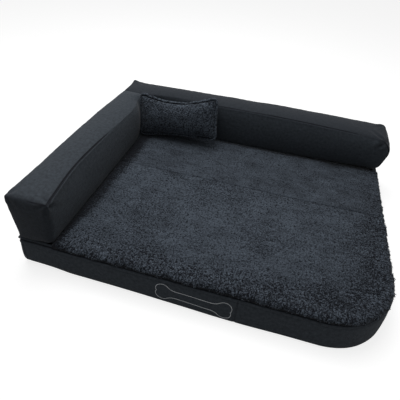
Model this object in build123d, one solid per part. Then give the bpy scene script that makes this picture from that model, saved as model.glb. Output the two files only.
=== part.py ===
from build123d import *
from math import ceil
import os

# A corner sofa bed for a pet, in millimetres. The origin is on the floor, under the
# middle of the base. X runs to the right along the front, Y to the back, Z up.

# Driving sizes of the base
bed_width = 1000.0
bed_depth = 800.0
open_corner_radius = 175.0
closed_corner_radius = 18.0
grip_sheet_thickness = 1.2
grip_dot_height = 0.8
grip_dot_radius = 3.0
grip_dot_pitch = 45.0
support_foam_height = 60.0
memory_foam_height = 30.0
liner_wall = 1.0
canvas_thickness = 2.0
band_joint_from_middle = 116.0

# Driving sizes of the plush lying surface
plush_height = 12.0
plush_edge_round = 7.0
plush_setback = 6.0
plush_seam_from_middle = 30.0

# Driving sizes of the bolsters
bolster_width = 105.0
bolster_side_height = 141.0
bolster_crown = 6.0
bolster_bulge = 6.0
bolster_top_round = 10.0
bolster_top_lean = 14.0
bolster_foot_round = 12.0
bolster_end_round = 14.0
bolster_setback = 2.0
back_bolster_right_gap = 12.0
left_bolster_front_gap = 4.0
cap_depth = 18.0
wadding_thickness = 12.0

# Driving sizes of what holds the bolsters down
deck_thickness = 2.0
strip_thickness = 1.5
strip_width = 40.0
strip_length = 140.0
flange_width = 20.0

# Driving sizes of the zips
tape_width = 30.0
tape_thickness = 0.8
zip_slot_width = 12.0
coil_width = 6.0
coil_height = 1.6
coil_stem_width = 3.0
coil_stem_height = 1.0
stop_length = 4.0
slider_wall = 1.0
slider_length = 14.0
crown_length = 7.0
crown_width = 2.4
crown_bar = 0.9
pull_thickness = 1.4
pull_arm_width = 1.6
pull_width = 9.0
pull_length = 24.0
base_zip_length = 660.0
bolster_zip_end_margin = 70.0
bolster_zip_height = 34.0
base_zip_height = 48.0

# Driving sizes of the bone sewn on the front
bone_length = 205.0
bone_height = 62.0
bone_neck = 29.0
bone_lobe_radius = 19.0
bone_flare = 32.0
bone_thread_width = 2.0
bone_thread_height = 0.8
bone_from_middle = 4.0
bone_centre_height = 43.0
bone_tilt = 2.0

# Driving sizes of the pillow
pillow_width = 262.0
pillow_height = 160.0
pillow_thickness = 72.0
pillow_edge_thickness = 8.0
pillow_wall = 3.0
pillow_drawn_in = 24.0
pillow_lean = 18.0
pillow_roll = 6.0
pillow_left_gap = 1.0
pillow_back_gap = 2.0

# Clearances
nest_gap = 0.3
running_gap = 0.3
seat_gap = 0.5

# Heights that follow from the layers
grip_height = grip_dot_height + grip_sheet_thickness
liner_low = grip_height
foam_low = liner_low + liner_wall
memory_low = foam_low + support_foam_height
foam_high = memory_low + memory_foam_height
liner_high = foam_high + liner_wall
deck_high = liner_high + deck_thickness
loop_high = deck_high + strip_thickness
bolster_low = loop_high + strip_thickness
plush_high = liner_high + plush_height
bolster_side_high = bolster_low + bolster_side_height

# Places that follow from the outline
left_edge = -bed_width / 2
right_edge = bed_width / 2
front_edge = -bed_depth / 2
rear_edge = bed_depth / 2
left_outer = left_edge + bolster_setback
left_inner = left_outer + bolster_width
back_outer = rear_edge - bolster_setback
back_inner = back_outer - bolster_width
back_start = left_outer
back_end = right_edge - back_bolster_right_gap
left_front = front_edge + left_bolster_front_gap
left_rear = back_inner - bolster_bulge - nest_gap
left_bolster_length = left_rear - left_front
back_bolster_length = back_end - back_start
overrun = bed_width / 10


def block(x_low, x_high, y_low, y_high, z_low, z_high):
    """A box between two corners."""
    solid = Box(x_high - x_low, y_high - y_low, z_high - z_low)
    centre = ((x_low + x_high) / 2, (y_low + y_high) / 2, (z_low + z_high) / 2)
    return Pos(*centre) * solid


def base_outline(inset):
    """The base seen from above, with one large round corner at the front right."""
    outline = Rectangle(bed_width - 2 * inset, bed_depth - 2 * inset)
    open_corner = outline.vertices().sort_by_distance((right_edge, front_edge))[0]
    outline = fillet(open_corner, open_corner_radius - inset)
    closed_corners = [
        corner
        for corner in outline.vertices()
        if corner.X < 0 or corner.Y > 0
        if abs(corner.X) + abs(corner.Y) > right_edge + rear_edge - 3 * inset - nest_gap
    ]
    return fillet(closed_corners, closed_corner_radius - inset)


def base_layer(inset, z_low, z_high):
    """A flat layer of the base."""
    return Pos(0, 0, z_low) * extrude(base_outline(inset), z_high - z_low)


def save(name, shape):
    """Write one sub-part."""
    export_step(shape, f"parts/{name}.step")


os.makedirs("parts", exist_ok=True)

# Grip panel: a coated sheet with rows of dots under it
dot_columns = int((bed_width / 2 - open_corner_radius) // grip_dot_pitch)
dot_rows = int((bed_depth / 2 - closed_corner_radius) // grip_dot_pitch)
grip_dots = GridLocations(
    grip_dot_pitch, grip_dot_pitch, 2 * dot_columns + 1, 2 * dot_rows + 1
) * Cylinder(
    grip_dot_radius, grip_dot_height, align=(Align.CENTER, Align.CENTER, Align.MIN)
)
grip_sheet = base_layer(nest_gap, grip_dot_height, grip_height)
save("base_grip_panel", grip_sheet + grip_dots)

# Foam core and the waterproof liner round it
liner_inset = canvas_thickness + nest_gap
foam_inset = liner_inset + liner_wall + nest_gap
save("base_support_foam", base_layer(foam_inset, foam_low, memory_low))
save("base_memory_foam", base_layer(foam_inset, memory_low, foam_high))
liner = base_layer(liner_inset, liner_low, liner_high)
liner -= base_layer(liner_inset + liner_wall, foam_low, foam_high)
save("base_liner", liner)

# The zips, each in its own frame: X along the coil, Y across it, Z out of the cover
slider_cavity_width = coil_width + 2 * running_gap
slider_width = slider_cavity_width + 2 * slider_wall
coil_top = coil_stem_height + coil_height
slider_low = running_gap
slider_lip_high = coil_stem_height - running_gap
slider_ceiling = coil_top + running_gap
slider_top = slider_ceiling + slider_wall
axle_height = slider_top + running_gap + pull_thickness / 2
crown_height = running_gap * 2 + pull_thickness + crown_bar
eye_length = crown_length / 2 + 2 * pull_thickness
eye_width = crown_width + 2 * running_gap + pull_arm_width * 2


def zip_tape(length):
    """Both halves of the woven tape, closed. Its face is at Z zero."""
    return block(
        -length / 2, length / 2, -tape_width / 2, tape_width / 2, -tape_thickness, 0
    )


def zip_coil(length):
    """The closed coil as one rail: a narrow stem under a wider head."""
    half = length / 2
    stem = block(-half, half, -coil_stem_width / 2, coil_stem_width / 2, 0, coil_stem_height)
    head = block(
        -half, half, -coil_width / 2, coil_width / 2, coil_stem_height, coil_top
    )
    return stem + head


def zip_stops(length):
    """The two clamped stops past the ends of the coil."""
    stop = block(
        0, stop_length, -coil_width / 2, coil_width / 2, 0, coil_top
    )
    return Compound(
        children=[
            Pos(length / 2, 0, 0) * stop,
            Pos(-length / 2 - stop_length, 0, 0) * stop,
        ]
    )


def zip_slider(place):
    """A slider that hooks round the coil, with an arch for its pull on top."""
    half = slider_length / 2
    body = block(-half, half, -slider_width / 2, slider_width / 2, slider_low, slider_top)
    cavity = block(
        -slider_length,
        slider_length,
        -slider_cavity_width / 2,
        slider_cavity_width / 2,
        slider_lip_high,
        slider_ceiling,
    )
    throat = block(
        -slider_length,
        slider_length,
        -coil_stem_width / 2 - running_gap,
        coil_stem_width / 2 + running_gap,
        -overrun,
        slider_ceiling,
    )
    body = fillet(body.edges().filter_by(Axis.Z), slider_wall)
    body -= cavity + throat
    arch = block(
        -crown_length / 2,
        crown_length / 2,
        -crown_width / 2,
        crown_width / 2,
        slider_top,
        slider_top + crown_height,
    )
    tunnel_half = pull_thickness / 2 + running_gap
    tunnel = block(
        -tunnel_half,
        tunnel_half,
        -crown_width,
        crown_width,
        slider_top,
        slider_top + 2 * tunnel_half,
    )
    return Pos(place, 0, 0) * (body + (arch - tunnel))


def zip_pull(place):
    """The tab: a round bar through the arch, two arms and a rounded plate."""
    bar = Rot(90, 0, 0) * Cylinder(pull_thickness / 2, eye_width)
    half = pull_thickness / 2
    arm = block(0, eye_length, 0, pull_arm_width, -half, half)
    inner = eye_width / 2 - pull_arm_width
    plate = block(eye_length, pull_length, -pull_width / 2, pull_width / 2, -half, half)
    plate = fillet(plate.edges().filter_by(Axis.Z), pull_width / 4)
    tab = bar + Pos(0, inner, 0) * arm + Pos(0, -inner - pull_arm_width, 0) * arm + plate
    return Pos(place, 0, axle_height) * tab


def save_zip(prefix, frame, length):
    """Write the five pieces of a zip. The slider starts at the +X end of its coil."""
    slider_place = length / 2 - slider_length / 2 - seat_gap
    save(f"{prefix}_zip_tape", frame * zip_tape(length + 2 * stop_length))
    save(f"{prefix}_zip_coil", frame * zip_coil(length))
    save(f"{prefix}_zip_stops", frame * zip_stops(length))
    save(f"{prefix}_zip_slider", frame * zip_slider(slider_place))
    save(f"{prefix}_zip_pull", frame * Rot(0, 0, 180) * zip_pull(-slider_place))


def zip_room(frame, length):
    """What a zip takes out of its cover: a slot for the coil and a rebate for the tape."""
    half = length / 2 + stop_length + seat_gap
    slot = block(-half, half, -zip_slot_width / 2, zip_slot_width / 2, -overrun / 4, overrun)
    rebate = block(
        -half,
        half,
        -tape_width / 2 - seat_gap,
        tape_width / 2 + seat_gap,
        -tape_thickness * 2,
        0,
    )
    return frame * (slot + rebate)


# Woven band round the base, sewn from strips. The zip parts the rear strip in two
base_zip_depth = canvas_thickness - tape_thickness
base_zip_frame = Plane(
    origin=(0, rear_edge - base_zip_depth, base_zip_height), x_dir=(1, 0, 0), z_dir=(0, 1, 0)
).location
band = base_layer(0, grip_height, liner_high)
band -= base_layer(canvas_thickness, grip_height, liner_high)
band -= zip_room(base_zip_frame, base_zip_length)
left_joint = left_edge + closed_corner_radius
rear_joint = rear_edge - closed_corner_radius
left_far = left_edge - overrun
right_far = right_edge + overrun
front_far = front_edge - overrun
rear_far = rear_edge + overrun
band_cuts = {
    "left": (left_far, left_joint, front_far, rear_joint, 0, liner_high),
    "front_left": (left_joint, band_joint_from_middle, front_far, rear_joint, 0, liner_high),
    "front_right": (band_joint_from_middle, right_far, front_far, rear_joint, 0, liner_high),
    "rear_lower": (left_far, right_far, rear_joint, rear_far, 0, base_zip_height),
    "rear_upper": (left_far, right_far, rear_joint, rear_far, base_zip_height, liner_high),
}
for strip, corners in band_cuts.items():
    save(f"base_band_{strip}", band & block(*corners))
save_zip("base", base_zip_frame, base_zip_length)

# Bone outline in thick thread on the front strip
lobe_up = bone_height / 2 - bone_lobe_radius
lobe_out = bone_length / 2 - bone_lobe_radius
bone = Rectangle(2 * lobe_out, bone_neck)
bone += GridLocations(2 * lobe_out, 2 * lobe_up, 2, 2) * Circle(bone_lobe_radius)
neck_corners = [
    corner for corner in bone.vertices() if abs(corner.X) < lobe_out and abs(corner.Y) > lobe_up / 2
]
bone = fillet(neck_corners, bone_flare)
bone_ribbon = offset(bone, bone_thread_width / 2) - offset(bone, -bone_thread_width / 2)
bone_frame = Plane(
    origin=(bone_from_middle, front_edge, bone_centre_height), x_dir=(1, 0, 0), z_dir=(0, -1, 0)
).location
save(
    "bone_embroidery",
    bone_frame * Rot(0, 0, -bone_tilt) * extrude(bone_ribbon, bone_thread_height),
)

# Plush lying surface in two pieces, and the canvas deck beside it under the bolsters
nest_left = left_inner + seat_gap
nest_rear = back_inner - seat_gap
nest_room = block(nest_left, right_far, front_far, nest_rear, 0, bed_width)
plush = base_layer(plush_setback, liner_high, plush_high)
plush = fillet(plush.faces().sort_by(Axis.Z)[-1].edges(), plush_edge_round)
plush = plush & nest_room
seam = plush_seam_from_middle
save(
    "plush_top_front", plush & block(left_far, right_far, front_far, seam, 0, bed_width)
)
save("plush_top_rear", plush & block(left_far, right_far, seam, rear_far, 0, bed_width))
deck = base_layer(bolster_setback, liner_high, deck_high)
deck -= block(left_inner, right_far, front_far, back_inner, 0, bed_width)
save("base_deck_panel", deck)

# Bolsters, each in its own frame: X along it from its hidden end, Y from outside to inside
end_distance_shares = (0.0, 0.3, 1.0)
end_draw_shares = (0.6, 0.2, 0.0)
end_fullness_shares = (0.1, 0.2, 0.35)
middle_place_shares = (0.25, 0.5, 0.75)
middle_fullness_shares = (0.9, 1.0, 0.9)


def bolster_outline(place, draw, fullness, inset):
    """One cross-section: flat foot and outside, bulging inside, crowned top."""
    outside = inset + draw
    inside = bolster_width - inset - draw
    foot = inset + draw
    top = bolster_side_height - inset - draw
    nearness = 1 - 2 * inset / bolster_width
    foot_round = bolster_foot_round * nearness
    top_round = bolster_top_round * nearness
    lean = bolster_top_lean * fullness
    bulge = bolster_bulge * fullness
    crown = bolster_crown * fullness
    foot_in = foot_round * (1 - 0.5**0.5)
    top_in = top_round * (1 - 0.5**0.5)
    upper = inside - lean
    edges = [
        Line((outside + foot_round, foot), (inside - foot_round, foot)),
        ThreePointArc(
            (inside - foot_round, foot), (inside - foot_in, foot + foot_in), (inside, foot + foot_round)
        ),
        ThreePointArc(
            (inside, foot + foot_round),
            ((inside + upper) / 2 + bulge, (foot + foot_round + top - top_round) / 2),
            (upper, top - top_round),
        ),
        ThreePointArc(
            (upper, top - top_round), (upper - top_in, top - top_in), (upper - top_round, top)
        ),
        ThreePointArc(
            (upper - top_round, top), ((upper + outside) / 2, top + crown), (outside + top_round, top)
        ),
        ThreePointArc(
            (outside + top_round, top), (outside + top_in, top - top_in), (outside, top - top_round)
        ),
        Line((outside, top - top_round), (outside, foot + foot_round)),
        ThreePointArc(
            (outside, foot + foot_round), (outside + foot_in, foot + foot_in), (outside + foot_round, foot)
        ),
    ]
    plane = Plane(origin=(place, 0, 0), x_dir=(0, 1, 0), z_dir=(1, 0, 0))
    return plane * make_face(edges)


def bolster_form(length, inset):
    """The whole bolster, or one of its inner layers, as a closed form."""
    ends = list(zip(end_distance_shares, end_draw_shares, end_fullness_shares))
    middle = zip(middle_place_shares, middle_fullness_shares)
    stations = [
        (inset + distance * bolster_end_round, draw * bolster_end_round, full)
        for distance, draw, full in ends
    ]
    stations += [(place * length, 0, full) for place, full in middle]
    stations += [
        (length - inset - distance * bolster_end_round, draw * bolster_end_round, full)
        for distance, draw, full in reversed(ends)
    ]
    sections = [bolster_outline(place, draw, full, inset) for place, draw, full in stations]
    return loft(sections, ruled=True)


def panel_cut(length):
    """What lies above and outside the two long seams of a bolster cover."""
    foot_seam = Vector(0, bolster_foot_round)
    top_seam = Vector(bolster_width - bolster_top_lean / 2, bolster_side_height)
    reach = top_seam - foot_seam
    far_corner = Vector(-overrun, bolster_side_height + overrun)
    outline = Polyline(foot_seam - reach, top_seam + reach, far_corner, close=True)
    plane = Plane(origin=(0, 0, 0), x_dir=(0, 1, 0), z_dir=(1, 0, 0))
    return extrude(plane * make_face(outline), length)


def save_bolster(name, frame, length, low_cap, high_cap):
    """Write one bolster: core, wadding, cover panels, zip, flange and strips."""
    wadding_inset = canvas_thickness + nest_gap
    core_room_inset = wadding_inset + wadding_thickness
    core_inset = core_room_inset + nest_gap
    save(f"{name}_core", frame * bolster_form(length, core_inset))
    wadding = bolster_form(length, wadding_inset) - bolster_form(length, core_room_inset)
    save(f"{name}_wadding", frame * wadding)

    zip_depth = canvas_thickness - tape_thickness
    zip_frame = Plane(
        origin=(length / 2, zip_depth, bolster_zip_height), x_dir=(1, 0, 0), z_dir=(0, -1, 0)
    ).location
    zip_length = length - 2 * bolster_zip_end_margin
    cover = bolster_form(length, 0) - bolster_form(length, canvas_thickness)
    cover -= zip_room(zip_frame, zip_length)
    far = length + overrun
    low_end = block(-overrun, cap_depth, -overrun, far, -overrun, far)
    high_end = block(length - cap_depth, far, -overrun, far, -overrun, far)
    save(f"{name}_{low_cap}", frame * (cover & low_end))
    save(f"{name}_{high_cap}", frame * (cover & high_end))
    sleeve = cover - low_end - high_end
    cut = panel_cut(length)
    save(f"{name}_top_panel", frame * (sleeve & cut))
    save(f"{name}_inner_panel", frame * (sleeve - cut))
    save_zip(name, frame * zip_frame, zip_length)

    flange_high = 0
    flange_low = deck_high - bolster_low
    flange = block(0, length, 0, bolster_width, flange_low, flange_high)
    flange = fillet(flange.edges().filter_by(Axis.Z), bolster_foot_round)
    flange -= block(
        flange_width, length - flange_width, flange_width, far, flange_low, flange_high
    )
    save(f"{name}_flange", frame * flange)
    strip_count = ceil(length / (2 * strip_length))
    strip_pitch = (length - 2 * flange_width) / strip_count
    strip_places = GridLocations(strip_pitch, strip_width, strip_count, 1)
    strip_middle = Pos(length / 2, bolster_width / 2, 0)
    strip = block(
        -strip_length / 2, strip_length / 2, -strip_width / 2, strip_width / 2, 0, strip_thickness
    )
    for kind, low in (("hook", loop_high), ("loop", deck_high)):
        strips = Compound(
            children=[strip_middle * spot * Pos(0, 0, low - bolster_low) * strip for spot in strip_places]
        )
        save(f"{name}_{kind}_strips", frame * strips)


left_frame = Plane(
    origin=(left_outer, left_rear, bolster_low), x_dir=(0, -1, 0), z_dir=(0, 0, 1)
).location
back_frame = Plane(
    origin=(back_end, back_outer, bolster_low), x_dir=(-1, 0, 0), z_dir=(0, 0, 1)
).location
save_bolster("left_bolster", left_frame, left_bolster_length, "rear_cap", "front_cap")
save_bolster("back_bolster", back_frame, back_bolster_length, "right_cap", "left_cap")

# Pillow: a crowned form that is drawn in between its corners, leaning in the rear corner
pillow_place_shares = (-1.0, -0.93, -0.78, -0.5, 0.0, 0.5, 0.78, 0.93, 1.0)
pillow_full_shares = (0.0, 0.34, 0.68, 0.92, 1.0, 0.92, 0.68, 0.34, 0.0)
pillow_draw_shares = (0.0, 0.35, 0.8, 1.0, 1.0, 1.0, 0.8, 0.35, 0.0)


def pillow_form(inset):
    """The whole pillow or its filling, lying flat on its middle plane."""
    half_width = pillow_width / 2 - inset
    edge = pillow_edge_thickness / 2 - inset
    sections = []
    for place, full, draw in zip(pillow_place_shares, pillow_full_shares, pillow_draw_shares):
        tall = pillow_height / 2 - inset - pillow_drawn_in * draw
        thick = edge + nest_gap + (pillow_thickness / 2 - pillow_edge_thickness / 2) * full
        outline = [
            Line((-tall, -edge), (-tall, edge)),
            ThreePointArc((-tall, edge), (0, thick), (tall, edge)),
            Line((tall, edge), (tall, -edge)),
            ThreePointArc((tall, -edge), (0, -thick), (-tall, -edge)),
        ]
        plane = Plane(origin=(place * half_width, 0, 0), x_dir=(0, 1, 0), z_dir=(1, 0, 0))
        sections.append(plane * make_face(outline))
    return loft(sections, ruled=True)


pillow_turn = Rot(90 - pillow_lean, 0, 0) * Rot(0, 0, pillow_roll)
pillow_outside = pillow_form(0)
pillow_box = (pillow_turn * pillow_outside).bounding_box()
pillow_place = Pos(
    left_inner + bolster_bulge + pillow_left_gap - pillow_box.min.X,
    back_inner - bolster_bulge - pillow_back_gap - pillow_box.max.Y,
    plush_high + seat_gap - pillow_box.min.Z,
)
pillow_frame = pillow_place * pillow_turn
pillow_cover = pillow_outside - pillow_form(pillow_wall)
far = pillow_width
front_half = block(-far, far, -far, far, 0, far)
save("pillow_filling", pillow_frame * pillow_form(pillow_wall + nest_gap))
save("pillow_front_panel", pillow_frame * (pillow_cover & front_half))
save("pillow_back_panel", pillow_frame * (pillow_cover - front_half))
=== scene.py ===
# %% [markdown]
# # A corner sofa bed for a pet
# The bed is a low foam base with a plush top, two stuffed bolsters and a loose pillow.
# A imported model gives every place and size, so this lesson only makes the looks: cloth
# that is blown up like a real cover, a pile made of many small curls, and woven canvas.

# %% Load the frame
import math

import bpy
import numpy as np
from mathutils import Matrix, Vector, noise
from mathutils.bvhtree import BVHTree


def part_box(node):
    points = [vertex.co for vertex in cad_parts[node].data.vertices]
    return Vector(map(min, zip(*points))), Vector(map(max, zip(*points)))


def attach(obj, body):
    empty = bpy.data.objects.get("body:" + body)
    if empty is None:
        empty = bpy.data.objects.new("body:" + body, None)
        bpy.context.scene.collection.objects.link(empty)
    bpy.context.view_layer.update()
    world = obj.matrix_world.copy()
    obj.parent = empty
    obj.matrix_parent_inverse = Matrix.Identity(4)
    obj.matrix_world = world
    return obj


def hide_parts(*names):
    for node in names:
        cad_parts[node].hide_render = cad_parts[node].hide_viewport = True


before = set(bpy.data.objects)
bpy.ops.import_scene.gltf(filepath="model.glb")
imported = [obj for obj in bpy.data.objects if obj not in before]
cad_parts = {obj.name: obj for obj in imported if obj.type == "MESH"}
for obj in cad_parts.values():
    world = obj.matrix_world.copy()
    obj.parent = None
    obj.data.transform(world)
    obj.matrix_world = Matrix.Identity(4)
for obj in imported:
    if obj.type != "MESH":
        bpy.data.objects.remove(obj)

mm = 0.001
scene = bpy.context.scene
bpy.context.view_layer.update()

# %% [markdown]
# ## Camera
# The picture is taken from the front, a little to the right of the middle, at 40 degrees
# above the floor. The camera is tilted a few degrees to its side, as a hand holds it.

# %% Camera
camera_place = Vector((0.1245, -0.9560, 0.8569))
camera_azimuth = math.radians(12.62)
camera_elevation = math.radians(40.05)
camera_roll = math.radians(4.72)
camera_lens = 33.53


def make_camera():
    """A camera that looks down at the bed, rolled about its own view axis."""
    level = math.cos(camera_elevation)
    back = Vector((
        math.sin(camera_azimuth) * level,
        -math.cos(camera_azimuth) * level,
        math.sin(camera_elevation),
    ))
    right = (-back).cross(Vector((0, 0, 1))).normalized()
    up = right.cross(-back)
    turned_right = math.cos(camera_roll) * right + math.sin(camera_roll) * up
    turned_up = math.cos(camera_roll) * up - math.sin(camera_roll) * right
    data = bpy.data.cameras.new("camera")
    data.lens = camera_lens
    data.sensor_width = 36.0
    data.clip_start = 0.01
    camera = bpy.data.objects.new("camera", data)
    camera.matrix_world = Matrix((turned_right, turned_up, back)).transposed().to_4x4()
    camera.location = camera_place
    scene.collection.objects.link(camera)
    return camera


scene.camera = make_camera()
print("camera at", list(camera_place), "with a lens of", camera_lens, "mm")

# %% [markdown]
# ## Small tools for meshes
# Every cloth piece here starts as rows of points that follow the real pattern pieces.
# A remeshed form would be quicker to make, but a grid keeps the seams as rows of points.

# %% Mesh tools


def new_piece(name, points, faces, uvs=None, edges=()):
    """A mesh object at the origin, with its place in its points."""
    mesh = bpy.data.meshes.new(name)
    mesh.from_pydata([tuple(point) for point in points], edges, faces)
    if uvs is not None:
        layer = mesh.uv_layers.new(name="cloth")
        layer.data.foreach_set("uv", np.asarray(uvs, np.float32).ravel())
    piece = bpy.data.objects.new(name, mesh)
    scene.collection.objects.link(piece)
    return piece


def store(piece, name, values):
    """Keep one number, or a row of three, for each point in the mesh."""
    values = np.asarray(values, np.float32)
    kind, key = ("FLOAT", "value") if values.ndim == 1 else ("FLOAT_VECTOR", "vector")
    layer = piece.data.attributes.new(name, kind, "POINT")
    layer.data.foreach_set(key, values.ravel())


def rows_of(items, key):
    """Three numbers for each item in one of a mesh's lists, as rows."""
    flat = np.empty(len(items) * 3, np.float32)
    items.foreach_get(key, flat)
    return flat.reshape(-1, 3).astype(float)


def points_of(mesh):
    """A mesh's points."""
    return rows_of(mesh.vertices, "co")


def normals_of(mesh):
    """The direction in which a mesh faces at each of its points."""
    return rows_of(mesh.vertex_normals, "vector")


def shares_of(piece):
    """The stored shares, also for points that a subdivision has added."""
    return rows_of(piece.data.attributes["share"].data, "vector")


def move_points(piece, points):
    """Give a piece new places for its points."""
    piece.data.vertices.foreach_set("co", points.astype(np.float32).ravel())
    piece.data.update()


def bake(piece):
    """Apply a piece's modifiers by taking its evaluated mesh."""
    bpy.context.view_layer.update()
    graph = bpy.context.evaluated_depsgraph_get()
    mesh = bpy.data.meshes.new_from_object(piece.evaluated_get(graph))
    piece.modifiers.clear()
    old = piece.data
    piece.data = mesh
    mesh.name = piece.name
    bpy.data.meshes.remove(old)
    return piece


def refine(piece, levels):
    """Smooth subdivision, applied."""
    step = piece.modifiers.new("finer", "SUBSURF")
    step.levels = levels
    step.render_levels = levels
    return bake(piece)


def finish_piece(piece, body, slot, *replaced):
    """Say what a piece rides on and what it stands for. slot is not used."""
    for face in piece.data.polygons:
        face.use_smooth = True
    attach(piece, body)
    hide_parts(*replaced)
    print(piece.name, len(piece.data.polygons), "faces")


# %% [markdown]
# ## Numbers along a line and over a surface
# Sewn edges wander. A few chosen values with a smooth line through them give each edge its
# course, and smooth random numbers with a fixed seed make small dents in cloth.

# %% Number tools


def along(places, values, at):
    """A smooth line through a few chosen values, read at many places."""
    slopes = np.gradient(values, places)
    cell = np.clip(np.searchsorted(places, at) - 1, 0, len(places) - 2)
    low = np.asarray(places, float)[cell]
    width = np.asarray(places, float)[cell + 1] - low
    part = np.clip((at - low) / width, 0, 1)
    first = np.asarray(values, float)[cell]
    last = np.asarray(values, float)[cell + 1]
    start = slopes[cell] * width
    end = slopes[cell + 1] * width
    return (
        first * (2 * part**3 - 3 * part**2 + 1)
        + start * (part**3 - 2 * part**2 + part)
        + last * (3 * part**2 - 2 * part**3)
        + end * (part**3 - part**2)
    )


def smooth_step(value):
    """0 below 0, 1 above 1 and a soft change between them."""
    part = np.clip(value, 0, 1)
    return part * part * (3 - 2 * part)


def bell(distance, width):
    """1 at a distance of 0, and soon 0 beyond a width."""
    return np.exp(-((distance / width) ** 2))


def rough(points, size, seed):
    """Smooth random numbers from -1 to 1 at each point, with bumps of a given size."""
    shift = Vector((seed * 7.3, seed * 3.1, seed * 5.7))
    return np.array([noise.noise(Vector(point) / size + shift) for point in points])


# %% [markdown]
# ## A skin of rows for stuffed pieces
# A box-shaped cover is sewn from six panels that meet in twelve seams. The skin below has
# the same layout. Its rows lie closer near the seams, so that a seam can be a sharp line.

# %% Skin of rows
seam_row, row_growth = 1.6 * mm, 1.6


def graded(length, step):
    """Shares from 0 to 1 whose spacing is fine at both ends and even between them."""
    gaps = []
    gap = seam_row
    while gap < step:
        gaps.append(gap)
        gap *= row_growth
    side = sum(gaps)
    count = max(1, round((length - 2 * side) / step))
    middle = [(length - 2 * side) / count] * count
    places = np.cumsum([0.0] + gaps + middle + gaps[::-1])
    return places / places[-1]


def skin(us, vs, ws, size):
    """Shares, faces and cloth coordinates of a box's skin. size is its real size."""
    ids = {}
    shares = []

    def point(i, j, k):
        key = (i, j, k)
        if key not in ids:
            ids[key] = len(shares)
            shares.append((us[i], vs[j], ws[k]))
        return ids[key]

    rows = (us, vs, ws)
    real = [row * length for row, length in zip(rows, size)]
    faces = []
    uvs = []
    for axis in range(3):
        first, second = [a for a in range(3) if a != axis]
        for side in (0, len(rows[axis]) - 1):
            flip = (side == 0) != (axis == 1)
            for a in range(len(rows[first]) - 1):
                for b in range(len(rows[second]) - 1):
                    corners = []
                    for da, db in ((0, 0), (1, 0), (1, 1), (0, 1)):
                        key = [0, 0, 0]
                        key[axis] = side
                        key[first] = a + da
                        key[second] = b + db
                        corners.append((point(*key), (real[first][a + da], real[second][b + db])))
                    if flip:
                        corners.reverse()
                    faces.append([corner[0] for corner in corners])
                    uvs += [corner[1] for corner in corners]
    return np.array(shares), faces, uvs


# %% [markdown]
# ## Blowing cloth up
# A stuffed cover could be sculpted, but cloth under air pressure finds the waves between
# its seams by itself. The simulation runs a few frames, and its last shape is kept.

# %% Inflate


def inflate(piece, held, pressure, reach, stiffness=15.0, frames=20):
    """Blow a closed cloth form up. Held points stay, and no point moves past its reach."""
    start = points_of(piece.data)
    group = piece.vertex_groups.new(name="held")
    for index, weight in enumerate(held):
        if weight > 0:
            group.add([index], float(weight), "REPLACE")
    cloth = piece.modifiers.new("cloth", "CLOTH")
    cloth.settings.quality = 5
    cloth.settings.mass = 0.3
    cloth.settings.tension_stiffness = stiffness
    cloth.settings.compression_stiffness = stiffness
    cloth.settings.use_pressure = True
    cloth.settings.uniform_pressure_force = pressure
    cloth.settings.effector_weights.gravity = 0
    cloth.settings.vertex_group_mass = "held"
    cloth.point_cache.frame_start = 1
    cloth.point_cache.frame_end = frames
    for number in range(1, frames + 1):
        scene.frame_set(number)
    graph = bpy.context.evaluated_depsgraph_get()
    moved = points_of(piece.evaluated_get(graph).data)
    scene.frame_set(1)
    piece.modifiers.clear()
    piece.vertex_groups.clear()
    change = moved - start
    far = np.linalg.norm(change, axis=1)
    kept = reach * (1 - np.exp(-far / reach))
    move_points(piece, start + change * (kept / np.maximum(far, 1e-9))[:, None])
    print(piece.name, "swelled by up to", round(float(kept.max()) / mm, 1), "mm")


# %% [markdown]
# ## Colours
# A colour picked on a screen is written as sRGB. A shader works with linear light, so one
# function turns each hex value into that. One more adds a node with its settings and links.

# %% Material tools


def linear(code):
    """An sRGB hex colour as the linear colour that a shader takes."""
    parts = [int(code[i : i + 2], 16) / 255 for i in (1, 3, 5)]
    return [p / 12.92 if p <= 0.04045 else ((p + 0.055) / 1.055) ** 2.4 for p in parts] + [1.0]


def add(tree, kind, sockets=None, **settings):
    """Add a node. A socket takes a number, a colour, an output, or a node's first output."""
    node = tree.nodes.new(kind)
    for key, value in settings.items():
        setattr(node, key, value)
    for key, value in (sockets or {}).items():
        if isinstance(value, bpy.types.Node):
            value = value.outputs[0]
        if isinstance(value, bpy.types.NodeSocket):
            tree.links.new(value, node.inputs[key])
        else:
            node.inputs[key].default_value = value
    return node


def new_material(name):
    """An empty material with its node tree and output."""
    material = bpy.data.materials.new(name)
    material.use_nodes = True
    material.node_tree.nodes.clear()
    return material, material.node_tree


def close_material(tree, shader):
    """Link a shader to the material's output."""
    add(tree, "ShaderNodeOutputMaterial", {"Surface": shader})


# %% [markdown]
# ## Woven canvas
# The covers are a heavy polyester canvas in plain weave: one thread over, one under. Each
# thread is about 0.6 mm wide. At the picture's size that is far less than a pixel, so the
# weave is drawn three times coarser, and slubs and a heathered mottle carry the look.
# Light hardly reaches into seams, folds and the hem under the plush, and some panels face
# away from the lamp, so each point also carries a painted shade, which mixes the canvas
# towards a blue-black. An image of cloth would do too, but nodes stay sharp at any distance.

# %% Canvas
canvas_pitch = 1.8 * mm
slub_length = 22 * mm
slub_stretch = 14
mottle_size = 9 * mm
# How far the painted shade darkens the canvas towards blue-black.
painted_shade_strength = 0.9


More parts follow.
